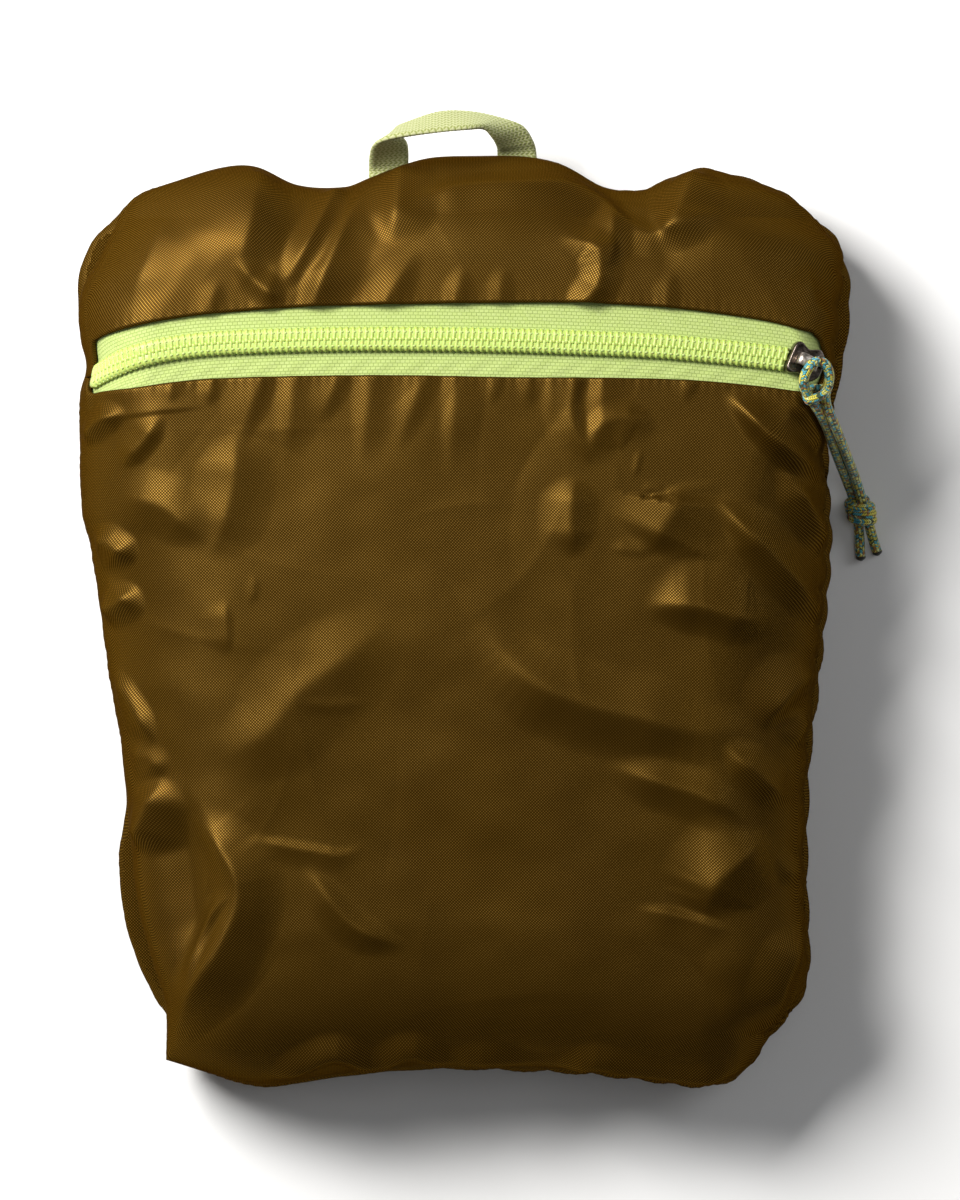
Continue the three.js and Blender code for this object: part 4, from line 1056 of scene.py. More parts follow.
# The wavy roll just above the bottom seam.
BOTTOM_ROLL_CREASE = Crease(
    (
        (-50.6, -114.4), (-41.1, -110.4), (-32.4, -106.9), (-22.4, -109.9), (-13.6, -106.4), (-3.6, -109.9),
        (4.4, -108.4), (16.4, -111.4), (23.9, -111.9), (31.9, -108.9), (41.4, -111.4), (56.4, -114.4),
        (70.1, -112.9),
    ),
    2.8, 4, 2.5, 0.8, 0.08,
)
FRONT_CREASES = (
    *ZIP_GATHERS, *UPPER_LEFT_CREASES, *UPPER_RIGHT_CREASES, *LOWER_RIGHT_CREASES, *LOWER_LEFT_CREASES,
    BOTTOM_ROLL_CREASE,
)
TOP_CREASES = (
    Crease(((-57.4, 84), (-52.4, 100.6), (-50.6, 116)), 2.1, 15, 9),
    Crease(((-83, 78), (-77, 92), (-72, 104)), 1.2, 8, 6),
    Crease(((-45.6, 82), (-36.4, 97), (-27, 118)), 2.2, 5, 4),
    Crease(((-40.9, 70), (-31.6, 92.1), (-22, 112)), 2.2, 5, 8),
    Crease(((-57, 90), (-50, 83), (-44, 79)), 1.4, 4, 4),
    gather((-60.4, 86), (-62.9, 78.6), 0.6, 3, 4),
    gather((-46.1, 91), (-48.6, 78.6), 0.7, 4, 5),
    gather((-11.1, 93), (-19.4, 79.4), 1.1, 5, 6),
    gather((-0.1, 89), (-1.9, 79.6), 0.75, 3.5, 4),
    gather((9.9, 89), (8.6, 79.6), 0.65, 3.5, 4),
    Crease(((23, 96), (32.4, 92), (33.4, 84), (29.9, 79.4), (24, 72)), 2.2, 5, 5),
    gather((51.4, 88), (49.9, 78.6), 0.6, 3, 4),
    Crease(
        (
            (66, 101), (56.9, 99.1), (45.9, 95.6), (39.9, 98), (33, 104.5), (27.6, 107.6), (11.4, 107.8),
            (-3.6, 106.4), (-14, 103),
        ),
        1.8, 5, 4, 0.8, 0.15,
    ),
    Crease(((-18.4, 93), (-15.6, 105.6), (-14.9, 118)), 2.7, 8, 9),
    Crease(((35.4, 87), (36.4, 96.9), (34.9, 104)), 2, 6, 5),
    Crease(((47.9, 92), (55.1, 104.4), (58.9, 117)), 2.7, 7, 9),
    Crease(((95, 73), (86, 79), (84, 90)), 1.5, 5, 4),
)


@dataclass(frozen=True)
class ShellPanels:
    """The pouch's cloth: front below the zip, top above it, and the back under both. Sizes are in mm."""

    wall: float = 0.8
    edge_radius: float = 0.7
    edge_steps: int = 4
    hem_steps: int = 4
    settle: float = 3
    scallop: float = 2.4
    gather_height: float = 0.13
    gather_reach: float = 1.3
    hem_wave: float = 0.26
    hem_reach: float = 1.2
    pucker: float = 1.1
    pucker_pitch: float = 11
    pucker_reach: float = 2.6
    slump: float = 4.5
    slump_reach: float = 34
    back_widest_height: float = 13.5
    back_roll: float = 24
    layer_peek: float = 4
    fill: float = 0.8

    def relief(self, points: Array, u: Array, y: Array, creases: Sequence[Crease], seed: int) -> Array:
        """Height of the cloth over the form.

        It is the folds with faint ripples and crinkles, the gathers beside the zip, and a slump of the lower
        half. All these fade at the outline, where the hem's small waves and the seam's puckers take over.
        The folds never go into the tape beside the zip.

        Args:
            points: places on the form.
            u: their shares across.
            y: their heights.
            creases: the folds.
            seed: start of the random draws.
        Returns:
            Heights, in mm.
        """
        x = points[..., 0]
        beyond = FORM.beyond_opening(u, y)
        inside = FORM.inside_outline(u, y)
        folds = crease_lift(x, y, creases) + ripple(x, y, seed, longest=60, shortest=9, steepness=0.011)
        folds = folds + crinkle(x, y, seed + 40, count=90, height=0.11)
        clear_of_tape = ease((beyond - FORM.tape_tuck) / FORM.tape_tuck)
        folds = folds * clear_of_tape + np.maximum(folds, -0.15) * (1 - clear_of_tape)
        gathers = self.gather_height * np.cos(2 * np.pi * x / self.scallop + 1.5 * np.sin(x / 7))
        gathers = gathers * np.exp(-np.maximum(beyond, 0) / self.gather_reach)
        # The hem's waves are weaker on the left, and fade towards the top.
        uneven = 0.6 + 0.4 * np.sin(y / 5.3 + 2 * np.sin(x / 11))
        hem = self.hem_wave * np.cos(2 * np.pi * (x + y) / self.scallop + 2.2 * np.sin((x - y) / 9)) * uneven
        hem = hem * np.exp(-inside / self.hem_reach) * np.where(x > 0, 1.0, 0.35) * ease((90 - y) / 40)
        # The puckers are weaker on the left, and fade towards the bottom.
        sway = 1.2 * np.sin(y / 15) + x / 18
        pucker = self.pucker * (np.abs(np.cos(np.pi * y / self.pucker_pitch + sway)) - 0.5)
        pucker = pucker * np.exp(-inside / self.pucker_reach) * ease((y + 100) / 30)
        pucker = pucker * (0.6 + 0.4 * np.tanh(x / 20))
        slump = self.slump * ease((10 - y) / 110) * ease(inside / self.slump_reach)
        return (folds + gathers - slump) * ease(inside / self.settle) + hem + pucker

    def panel(self, u_line: Array, rows: int, side: int, creases: Sequence[Crease], seed: int) -> Skin:
        """One main panel, from the outline to a rounded edge beside the zip, with its hem and inner wall.

        The grid's rows run from the outline to the opening. The edge turns under on a small arc. The hem
        carries the outline down and in to the seam on a quarter circle, and its cloth places run on from the
        grid's. The inner wall is every fourth point moved inwards.

        Args:
            u_line: shares across, in the grid's order.
            rows: steps from the outline to the opening.
            side: 1 for the panel above the zip and -1 for the one below it.
            creases: its folds.
            seed: start of the random draws.
        Returns:
            The closed surface.
        """
        outline = FORM.top if side > 0 else FORM.bottom
        v = spread(rows, 0.35)[:, None]
        u = np.broadcast_to(u_line, (rows + 1, len(u_line)))
        start = outline(u)
        y = start + (FORM.opening_edge(u, side) + side * self.edge_radius - start) * v
        base = FORM.shell(u, y)
        outward = FORM.normal(u, y)
        main = base + outward * self.relief(base, u, y, creases, seed)[..., None]
        main[0] = base[0]
        lip, normal = main[-1], outward[-1]
        inwards = np.array([0.0, -side, 0.0]) - normal * (-side * normal[:, 1:2])
        turn = np.radians(30.0 * np.arange(1, self.edge_steps + 1))[:, None, None]
        edge = lip + self.edge_radius * (unit(inwards) * np.sin(turn) - normal * (1 - np.cos(turn)))
        grid = np.concatenate([main, edge])
        count, columns = grid.shape[0], grid.shape[1]
        index = np.arange(count * columns).reshape(count, columns)
        path = np.concatenate([index[rows::-1, 0], index[0, 1:], index[1 : rows + 1, -1]])
        ring = grid.reshape(-1, 3)[path]
        towards = unit(-ring * [1, 1, 0])
        drop = FORM.widest_height - FORM.seam_height
        angle = np.radians(np.linspace(0, 90, self.hem_steps + 1)[1:])[:, None, None]
        hem = ring + towards * FORM.hem_tuck * (1 - np.cos(angle))
        hem = hem * [1, 1, 0] + [0, 0, 1] * (FORM.widest_height - drop * np.sin(angle))
        points = np.concatenate([grid.reshape(-1, 3), hem.reshape(-1, 3)])
        hem_numbers = count * columns + np.arange(hem.shape[0] * len(path)).reshape(hem.shape[0], -1)
        hem_index = np.vstack([path, hem_numbers])
        faces = np.concatenate([grid_quads(count, columns), index_quads(hem_index.T)])
        loop = np.concatenate([
            index[-1, ::-1], index[-2 : rows - 1 : -1, 0], hem_index[1:, 0], hem_index[-1, 1:],
            hem_index[-2::-1, -1], index[rows + 1 :, -1],
        ])
        smooth = np.concatenate([base, base[-1:] + (edge - lip)])
        places = self.metric_uv(smooth).reshape(-1, 2)
        down = np.cumsum(np.linalg.norm(np.diff(np.concatenate([ring[None], hem]), axis=0), axis=2), axis=0)
        hem_places = places[path] - towards[:, :2] * down[..., None]
        places = np.concatenate([places, hem_places.reshape(-1, 2)])
        return self.with_inner_wall(points, faces, index, hem_index, loop, places)

    def metric_uv(self, grid: Array) -> Array:
        """Cloth places of a grid: lengths along its rows and columns, from its middle ones.

        Args:
            grid: points, row by row.
        Returns:
            Two lengths for each point, in mm.
        """
        steps_across = np.linalg.norm(np.diff(grid, axis=1), axis=2)
        steps_along = np.linalg.norm(np.diff(grid, axis=0), axis=2)
        across = np.concatenate([np.zeros((grid.shape[0], 1)), np.cumsum(steps_across, axis=1)], axis=1)
        along = np.concatenate([np.zeros((1, grid.shape[1])), np.cumsum(steps_along, axis=0)])
        middle_row, middle_column = grid.shape[0] // 2, grid.shape[1] // 2
        across = across - across[:, middle_column, None]
        return np.stack([across, along - along[middle_row]], -1)

    def with_inner_wall(
        self, points: Array, faces: Array, index: Array, hem_index: Array, loop: Array, uv: Array,
    ) -> Skin:
        """Closes a panel with an inner wall of every fourth point, moved inwards, and a rim of triangles.

        Args:
            points: the outer surface's points.
            faces: its quads.
            index: vertex numbers of the main grid.
            hem_index: vertex numbers of the hem, whose first row lies on the grid.
            loop: vertex numbers round the open edge, in its faces' direction.
            uv: the cloth places.
        Returns:
            The closed surface.
        """
        normals = vertex_normals(points, faces)
        kept_grid, kept_hem = index[::4, ::4], hem_index[::4, ::4]
        kept = np.unique(np.concatenate([kept_grid.ravel(), kept_hem.ravel()]))
        renumber = np.full(len(points), -1)
        renumber[kept] = len(points) + np.arange(len(kept))
        inner_grid, inner_hem = renumber[kept_grid], renumber[kept_hem]
        inner_faces = np.concatenate([index_quads(inner_grid.T), index_quads(inner_hem)])
        segments = len(loop) // 4
        outer = loop[: 4 * segments].reshape(segments, 4)
        ends = np.roll(outer[:, 0], -1)
        o = np.column_stack([outer, ends])
        a, b = renumber[o[:, 0]], renumber[o[:, 4]]
        rim = np.concatenate([
            np.column_stack([o[:, 1], o[:, 0], a]), np.column_stack([o[:, 2], o[:, 1], a]),
            np.column_stack([o[:, 2], a, b]),
            np.column_stack([o[:, 3], o[:, 2], b]), np.column_stack([o[:, 4], o[:, 3], b]),
        ])
        points = np.concatenate([points, points[kept] - normals[kept] * self.wall])
        return Skin(points, [faces, inner_faces, rim], np.concatenate([uv, uv[kept]]))

    def outline_ring(self, side_steps: int, end_steps: int) -> tuple[Array, Array]:
        """The outline, counter-clockwise from the lower left corner.

        Args:
            side_steps: steps along the left and the right side.
            end_steps: steps along the bottom and the top.
        Returns:
            Its points, and how far the back stands out past each.
        """
        ends, sides = np.arange(end_steps) / end_steps, np.arange(side_steps) / side_steps
        right_y = FORM.bottom(1.0) + (FORM.top(1.0) - FORM.bottom(1.0)) * sides
        left_y = FORM.top(0.0) + (FORM.bottom(0.0) - FORM.top(0.0)) * sides
        parts = (
            (ends, FORM.bottom(ends), follow(BOTTOM_PEEK, "by", ends)),
            (np.ones_like(right_y), right_y, follow(RIGHT_PEEK, "by", right_y / FORM.half_length)),
            (1 - ends, FORM.top(1 - ends), follow(TOP_PEEK, "by", 1 - ends)),
            (np.zeros_like(left_y), left_y, follow(LEFT_PEEK, "by", left_y / FORM.half_length)),
        )
        ring = np.concatenate([FORM.shell(u, y) for u, y, _ in parts]) * [1, 1, 0]
        return ring, np.concatenate([by for _, _, by in parts]) * self.layer_peek

    def back(self) -> Skin:
        """The shallow back, from the seam down a quarter ellipse to the flat stretch on the floor.

        Each ring is the outline moved towards the middle by back_roll * (1 - cos), less the peek, at a
        height of back_widest_height * (1 - sin). The four rings at the seam form its furrow. The seam's
        gathers are a small wave along the upper rings, and the scallops are the wide bulges between its
        puckers. The cloth places point away from the middle, at the length measured along the cloth.

        Returns:
            The closed surface, with its inner wall.
        """
        ring, peek = self.outline_ring(180, 200)
        steps = np.linalg.norm(ring - np.roll(ring, 1, axis=0), axis=1)
        along = np.cumsum(steps)
        uneven = 0.55 + 0.45 * np.sin(along / 17 + 2 * np.sin(along / 41))
        gathers = np.cos(2 * np.pi * along / self.scallop + 2.2 * np.sin(along / 11)) * uneven
        scallops = np.abs(np.cos(np.pi * along / self.pucker_pitch + 1.3 * np.sin(along / 23)))
        scallops = self.pucker * scallops * (0.45 + 0.35 * np.tanh(ring[:, 0] / 20))
        reach = np.linalg.norm(ring, axis=1)
        rim = FORM.seam_height - FORM.gap
        tuck = FORM.hem_tuck
        # Inset, share of the peek, height and size of the gathers, ring by ring.
        levels = [
            (tuck, 0.0, rim, 0.05), (tuck * 0.9, 0.1, rim - 1.2, 0.2),
            (tuck * 0.5, 0.55, rim - 2.4, 0.26), (tuck * 0.1, 0.92, rim - 3.5, 0.16),
        ]
        for turn in np.radians(np.linspace(0, 90, 13)):
            height = self.back_widest_height * (1 - np.sin(turn))
            levels.append((self.back_roll * (1 - np.cos(turn)), np.cos(turn), height, 0.08 * np.cos(turn)))
        rings = []
        for inset, share, height, wave in levels:
            pulled = inset - peek * share + wave * gathers - scallops * share**3
            rings.append(ring * ((reach - pulled) / reach)[:, None] + [0, 0, height])
        middle = rings[-1]
        rings += [middle * share * [1, 1, 0] for share in (0.85, 0.6, 0.3)]
        outer = np.stack(rings)
        inner = outer[[0, 4, 8, 11, 14, 16, 18]]
        thinner = 1 - self.wall / np.maximum(np.linalg.norm(inner[..., :2], axis=2, keepdims=True), 9)
        lifted = np.where(np.arange(len(inner)) > 0, self.wall, 0.0)[:, None, None]
        inner = inner * [1, 1, 0] * thinner + [0, 0, 1] * (inner + lifted)
        count = outer.shape[1]
        first_inner = outer.shape[0] * count
        last_inner = first_inner + (inner.shape[0] - 1) * count
        points = np.concatenate([outer.reshape(-1, 3), inner.reshape(-1, 3), [[0, 0, 0], [0, 0, self.wall]]])
        sides = np.arange(count)
        fans = np.concatenate([
            fan((first_inner - count + sides)[::-1], len(points) - 2),
            fan(last_inner + sides, len(points) - 1),
        ])
        after = (sides + 1) % count
        rim = np.column_stack([sides, after, first_inner + after, first_inner + sides])
        quads = [
            grid_quads(len(outer), count, 0, True)[:, ::-1],
            grid_quads(len(inner), count, first_inner, True),
        ]
        from_middle = np.cumsum(np.linalg.norm(np.diff(outer, axis=0), axis=2)[::-1], axis=0)[::-1]
        from_middle = np.concatenate([from_middle, np.zeros((1, count))]) + np.linalg.norm(outer[-1], axis=1)
        outer_uv = unit(outer[..., :2]) * from_middle[..., None]
        uv = np.concatenate([outer_uv.reshape(-1, 2), inner[..., :2].reshape(-1, 2), np.zeros((2, 2))])
        return Skin(points, [*quads, rim, fans], uv)

    def build(self, nylon: Material) -> None:
        """Makes the three panels and dresses the folded body inside them.

        Args:
            nylon: finish of the cloth.
        """
        across = spread(352, 0.55)
        front = self.panel(across, rows=248, side=-1, creases=FRONT_CREASES, seed=3)
        top = self.panel(across[::-1], rows=112, side=1, creases=TOP_CREASES, seed=8)
        panels = (("front", front), ("top", top), ("back", self.back()))
        for name, skin in panels:
            cloth = make_piece(f"{name}_cloth", skin, nylon, [f"{name}_panel"])
        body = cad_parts["packed_body"]
        body.data.materials.clear()
        body.data.materials.append(nylon)


def vertex_normals(points: Array, quads: Array) -> Array:
    """Outward direction at each vertex: the sum of the cross products of its quads' diagonals.

    Args:
        points: the vertices.
        quads: four vertex numbers to a quad.
    Returns:
        Directions of unit length.
    """
    cross = np.cross(points[quads[:, 2]] - points[quads[:, 0]], points[quads[:, 3]] - points[quads[:, 1]])
    total = np.zeros_like(points)
    for corner in range(4):
        for axis in range(3):
            total[:, axis] += np.bincount(quads[:, corner], cross[:, axis], len(points))
    return unit(total)


def capped(rings: Array, ends: Array, uv: Array | None = None) -> Skin:
    """A closed surface of rings of points, with a fan over the first ring and over the last.

    Args:
        rings: the rings, each counter-clockwise when seen from beyond the last one.
        ends: the points in the middle of the first and of the last ring.
        uv: places of the rings' points and of the two ends.
    Returns:
        The surface.
    """
    count, sides = rings.shape[:2]
    total = count * sides
    first = np.arange(sides)
    fans = np.concatenate([fan(first[::-1], total), fan(total - sides + first, total + 1)])
    points = np.concatenate([rings.reshape(-1, 3), ends])
    return Skin(points, [grid_quads(count, sides, 0, True), fans], uv)


def tube(path: Array, radii: Array, sides: int) -> Skin:
    """A round tube: circles in the planes square to a path, turned as little as possible along it.

    Args:
        path: the circles' centres.
        radii: their radii.
        sides: points to a circle.
    Returns:
        The surface, with UV places of the share round it and the length along it.
    """
    forward = unit(np.gradient(path, axis=0))
    side = np.zeros_like(path)
    guide = np.array([0.0, 0.0, 1.0]) if abs(forward[0, 2]) < 0.8 else np.array([1.0, 0.0, 0.0])
    side[0] = unit(np.cross(forward[0], guide))
    for i in range(1, len(path)):
        side[i] = unit(side[i - 1] - forward[i] * np.dot(side[i - 1], forward[i]))
    other = np.cross(forward, side)
    angle = np.linspace(0, 2 * np.pi, sides + 1)[:-1]
    ring = side[:, None] * np.cos(angle)[None, :, None] + other[:, None] * np.sin(angle)[None, :, None]
    length = lengths(path)
    share, along = np.meshgrid(np.arange(sides) / sides, length)
    share = np.minimum(2 * share, 2 - 2 * share)
    uv = np.concatenate([np.column_stack([share.ravel(), along.ravel()]), [[0, 0], [0, length[-1]]]])
    return capped(path[:, None] + ring * radii[:, None, None], path[[0, -1]], uv)


@dataclass(frozen=True)
class ZipLineFrame:
    """Places along the zip with their own directions: forward along it, aside towards the loop, and up."""

    origin: Array
    forward: Array
    aside: Array
    up: Array

    @classmethod
    def at_pitch(cls, start: float, end: float, pitch: float, depth: float) -> "ZipLineFrame":
        """Places at an even pitch along the zip.

        Args:
            start: share across at which they start.
            end: share across that they don't go past.
            pitch: distance between two of them, in mm.
            depth: how far they lie below the form.
        Returns:
            The places.
        """
        u = np.linspace(start, end, 1200)
        length = lengths(FORM.sunk(u, FORM.zip_line(u), depth))
        even = np.interp(np.arange(0, length[-1], pitch), length, u)
        origin = FORM.sunk(even, FORM.zip_line(even), depth)
        up = FORM.normal(even, FORM.zip_line(even))
        step = 0.004
        before, after = even - step, even + step
        ahead = FORM.shell(after, FORM.zip_line(after)) - FORM.shell(before, FORM.zip_line(before))
        aside = unit(np.cross(up, ahead))
        return cls(origin, np.cross(aside, up), aside, up)

    def copies(self, template: Skin) -> Skin:
        """A template at every place, its x forward, its y aside and its z up.

        Args:
            template: the surface to copy.
        Returns:
            All its copies as one surface.
        """
        t = template.points
        points = (
            self.origin[:, None] + self.forward[:, None] * t[None, :, 0:1]
            + self.aside[:, None] * t[None, :, 1:2] + self.up[:, None] * t[None, :, 2:3]
        )
        shift = np.arange(len(self.origin)) * len(t)
        faces = [(group[None] + shift[:, None, None]).reshape(-1, group.shape[1]) for group in template.faces]
        return Skin(points.reshape(-1, 3), faces)


def ball(size: Array, rings: int = 6, sides: int = 8) -> Skin:
    """An ellipsoid, as circles between two poles.

    Args:
        size: its three half axes.
        rings: steps from pole to pole.
        sides: points to a circle.
    Returns:
        The surface.
    """
    polar = np.linspace(np.pi, 0, rings + 1)[1:-1]
    angle = np.linspace(0, 2 * np.pi, sides + 1)[:-1]
    p, a = np.meshgrid(polar, angle, indexing="ij")
    circles = np.stack([np.sin(p) * np.cos(a), np.sin(p) * np.sin(a), np.cos(p)], -1)
    return capped(circles * size, np.array([[0, 0, -1], [0, 0, 1]]) * size)


@dataclass(frozen=True)
class ZipClosure:
    """The zip: two tapes, the closed coil with its stitching, and the slider. Sizes are in mm."""

    start: float = 0.009
    end: float = 0.99
    slider_at: float = 0.956
    tape_depth: float = 1.5
    tape_thickness: float = 0.8
    tape_drop: float = 0.6
    tooth_pitch: float = 1.55
    filament: float = 0.5
    coil_half: float = 3.0
    coil_height: float = 1.8
    slider_length: float = 9
    slider_width: float = 9
    slider_waist: float = 6.6
    slider_turn: float = -16
    bail_width: float = 3.1
    bail_rise: float = 2.2

    def tape(self, side: int) -> Skin:
        """One half of the tape: a thin sheet, a little wavy, that dips where it runs on under the panel.

        Args:
            side: 1 for the half above the coil and -1 for the one below it.
        Returns:
            The closed surface.
        """
        u = self.start + (self.end - self.start) * spread(320, 0.5)
        reach = FORM.reach(u, side)[None]
        last_share = 1.2
        shares = np.concatenate([np.linspace(0, 1, 13), [1.12, last_share]])[:, None]
        past_edge = FORM.tape_tuck * np.maximum(shares - 1, 0) / (last_share - 1)
        middle_gap, edge_gap = 0.15, 0.3
        away = middle_gap + (reach - middle_gap - edge_gap) * np.minimum(shares, 1) + past_edge
        drop = np.clip(away - reach, 0, None) / FORM.tape_tuck * self.tape_drop
        grid_u = np.broadcast_to(u, away.shape)
        y = FORM.zip_line(grid_u) + side * away
        waves = 0.1 * np.sin(2 * np.pi * (grid_u * 190 + 1.4 * away) / 7.5)
        waves = waves * ease(away / reach * 1.5 - 0.4) * (shares < 1)
        top = FORM.sunk(grid_u, y, self.tape_depth + drop - waves)
        under = FORM.sunk(grid_u, y, self.tape_depth + drop + self.tape_thickness)
        if side < 0:
            top, under, away = top[::-1], under[::-1], away[::-1]
        rows, columns = away.shape
        count = rows * columns
        index = np.arange(count).reshape(rows, columns)
        loop = np.concatenate([index[0, :-1], index[:-1, -1], index[-1, :0:-1], index[:0:-1, 0]])
        rim = np.column_stack([np.roll(loop, -1), loop, loop + count, np.roll(loop, -1) + count])
        faces = [grid_quads(rows, columns), grid_quads(rows, columns, count)[:, ::-1], rim]
        uv = np.stack([np.broadcast_to(lengths(top[0]), away.shape), away], -1).reshape(-1, 2)
        return Skin(np.concatenate([top.reshape(-1, 3), under.reshape(-1, 3)]), faces, np.tile(uv, (2, 1)))

    def coil(self) -> tuple[Skin, Skin]:
        """The coil's teeth, and the rows of stitches that hold them down.

        A tooth is a filament that climbs round the outer bend, crosses over the top and ends in a flat head
        past the middle line. The other side's teeth are the same, turned half round and half a pitch on.
        the middle line. The teeth of the other side are the same, turned half round and half a pitch on.

        Returns:
            The teeth with their core, and the stitches.
        """
        last = self.slider_at - 0.5 * self.slider_length / FORM.width
        line = ZipLineFrame.at_pitch(self.start + 0.006, last, self.tooth_pitch, self.tape_depth - 0.1)
        half, top = self.coil_half, self.coil_height
        path = smooth_path(np.array([
            [-0.3, 0.9, 0.4], [-0.25, 1.9, 0.32], [-0.12, half - 0.45, 0.45], [0, half - 0.3, 0.95],
            [0.1, half - 0.7, top - 0.5], [0.1, 1.4, top - 0.38], [0, 0.4, top - 0.4], [0, -0.45, top - 0.5],
        ]), 0.42)
        share = np.linspace(0, 1, len(path))
        swelling = 1 + 0.35 * ease((share - 0.8) / 0.15)
        radii = self.filament * swelling * (1 - 0.5 * ease((share - 0.96) / 0.04))
        tooth = tube(path, radii, 7)
        turned = Skin(tooth.points * [-1, -1, 1] + [self.tooth_pitch / 2, 0, 0], tooth.faces)
        near, far = line.copies(Skin(tooth.points, tooth.faces)), line.copies(turned)
        teeth = joined([self.coil_core(last), near, far])
        bead = ball(np.array([0.46, 0.3, 0.24]))
        # Place aside, place along and height of each row: two over the teeth and two beside them.
        rows = (
            (1.75, 0.35, top - 0.12), (-1.75, 1.1, top - 0.12), (2.75, 0.35, 0.75), (-2.75, 1.1, 0.75),
        )
        stitches = [
            line.copies(Skin(bead.points + [shift, aside, height], bead.faces))
            for aside, shift, height in rows
        ]
        return teeth, joined(stitches)

    def coil_core(self, last: float) -> Skin:
        """The filling between the teeth: the core cords and the overlapping shanks, as one rounded band.

        Args:
            last: share across at which it ends.
        Returns:
            The closed surface.
        """
        line = ZipLineFrame.at_pitch(self.start + 0.004, last, 0.8, self.tape_depth)
        half = self.coil_half - 0.18
        aside = half * np.array([-1, -1, -0.94, -0.8, -0.5, -0.12, 0, 0.12, 0.5, 0.8, 0.94, 1, 1])
        rise = np.array([-0.3, 0.9, 1.4, 1.68, 1.8, 1.74, 1.62, 1.74, 1.8, 1.68, 1.4, 0.9, -0.3])
        sides = len(aside)
        rings = (
            line.origin[:, None] + line.aside[:, None] * aside[None, :, None]
            + line.up[:, None] * rise[None, :, None]
        )
        rim = np.arange(1, sides)
        last_ring = (len(rings) - 1) * sides
        ends = np.concatenate([fan(rim, 0)[:-1], fan(last_ring + rim[::-1], last_ring)[:-1]])
        return Skin(rings.reshape(-1, 3), [grid_quads(len(rings), sides, 0, True)[:, ::-1], ends])

    def slider(self) -> Skin:
        """The slider: an hourglass outline carried up through bevelled levels to a dished top.

        The outline is a rounded rectangle whose width narrows to the waist behind the shoulders.

        Returns:
            The closed surface.
        """
        angle = np.linspace(0, 2 * np.pi, 97)[:-1]
        cosine, sine = np.cos(angle), np.sin(angle)
        square = 1 / np.maximum(np.abs(cosine) ** 5 + np.abs(sine) ** 5, 1e-9) ** 0.2
        half_length, half = self.slider_length / 2, self.slider_width / 2
        x = half_length * cosine * square
        place = x / half_length
        waist = 1 - (1 - self.slider_waist / self.slider_width) * np.exp(-(((place + 0.15) / 0.42) ** 2))
        nose = 1 - 0.28 * ease((place - 0.45) / 0.55)
        y = half * sine * square * waist * nose
        # Height of each level, and how far its edge is set in.
        levels = (
            (0.35, 0.25), (0.5, 0.0), (2.2, 0.0), (2.75, 0.08),
            (2.98, 0.3), (3.0, 0.55), (2.86, 0.85), (2.74, 1.3),
        )
        rings = []
        for height, inset in levels:
            across, along = x * (1 - inset / half_length), y * (1 - inset / half)
            rings.append(np.column_stack([across, along, np.full_like(x, height)]))
        rings.append(rings[-1] * [0.5, 0.5, 1])
        return capped(np.stack(rings), np.array([[0, 0, levels[0][0]], [0, 0, levels[-1][0]]]))

    def bail(self) -> Skin:
        """The bail: a flat bar with rounded edges along an arch from the back of the slider to its front.

        Returns:
            The closed surface.
        """
        arch = np.linspace(0, np.pi, 25)
        reach = self.slider_length * 0.27
        along = -reach * np.sign(np.cos(arch)) * np.abs(np.cos(arch)) ** 0.6
        rise = 2.45 + self.bail_rise * np.sin(arch) ** 0.5
        centre = np.column_stack([along, 0 * arch, rise])
        forward = unit(np.gradient(centre, axis=0))
        upright = np.cross(forward, [0.0, -1.0, 0.0])
        half, bevel, thick = self.bail_width / 2, 0.15, 0.45
        right = np.array([[half - bevel, -1], [half, -0.5], [half, 0.5], [half - bevel, 1]])
        section = np.concatenate([right, -right])
        bar = section[None, :, 0:1] * [0.0, 1.0, 0.0] - upright[:, None] * section[None, :, 1:2] * thick
        return capped(centre[:, None] + bar, centre[[0, -1]])

    def build(
        self, tape: Material, coil: Material, thread: Material, metal: Material, rubbed_and_highlight: Material,
    ) -> None:
        """Makes the zip's pieces.

        Args:
            tape: finish of the tapes.
            coil: finish of the coil.
            thread: finish of the stitches.
            metal: finish of the slider.
            rubbed_and_highlight: finish of the bail, a much lighter copy of the slider's plating that is a
                painted highlight.
        """
        make_piece("upper_tape", self.tape(1), tape, ["zip_tape_upper"])
        make_piece("lower_tape", self.tape(-1), tape, ["zip_tape_lower"])
        teeth, stitches = self.coil()
        make_piece("coil_teeth", teeth, coil, ["zip_coil"])
        make_piece("coil_stitches", stitches, thread)
        place = ZipLineFrame.at_pitch(self.slider_at, self.slider_at + 0.01, 100, self.tape_depth)
        turn = np.radians(self.slider_turn)
        spin = np.array([[np.cos(turn), np.sin(turn), 0], [-np.sin(turn), np.cos(turn), 0], [0, 0, 1]])
        slider_parts = (
            ("slider_casting", self.slider(), metal, ["zip_slider"]),
            ("slider_bail", self.bail(), rubbed_and_highlight, []),
        )
        for name, skin, finish, nodes in slider_parts:
            placed = place.copies(Skin(skin.points @ spin, skin.faces))
            make_piece(name, placed, finish, nodes)


class LoopRow(NamedTuple):
    """The webbing's two edges at one place, as shares of the loop's half span, rise and webbing width."""

    ax: float
    ay: float
    az: float
    bx: float
    by: float
    bz: float


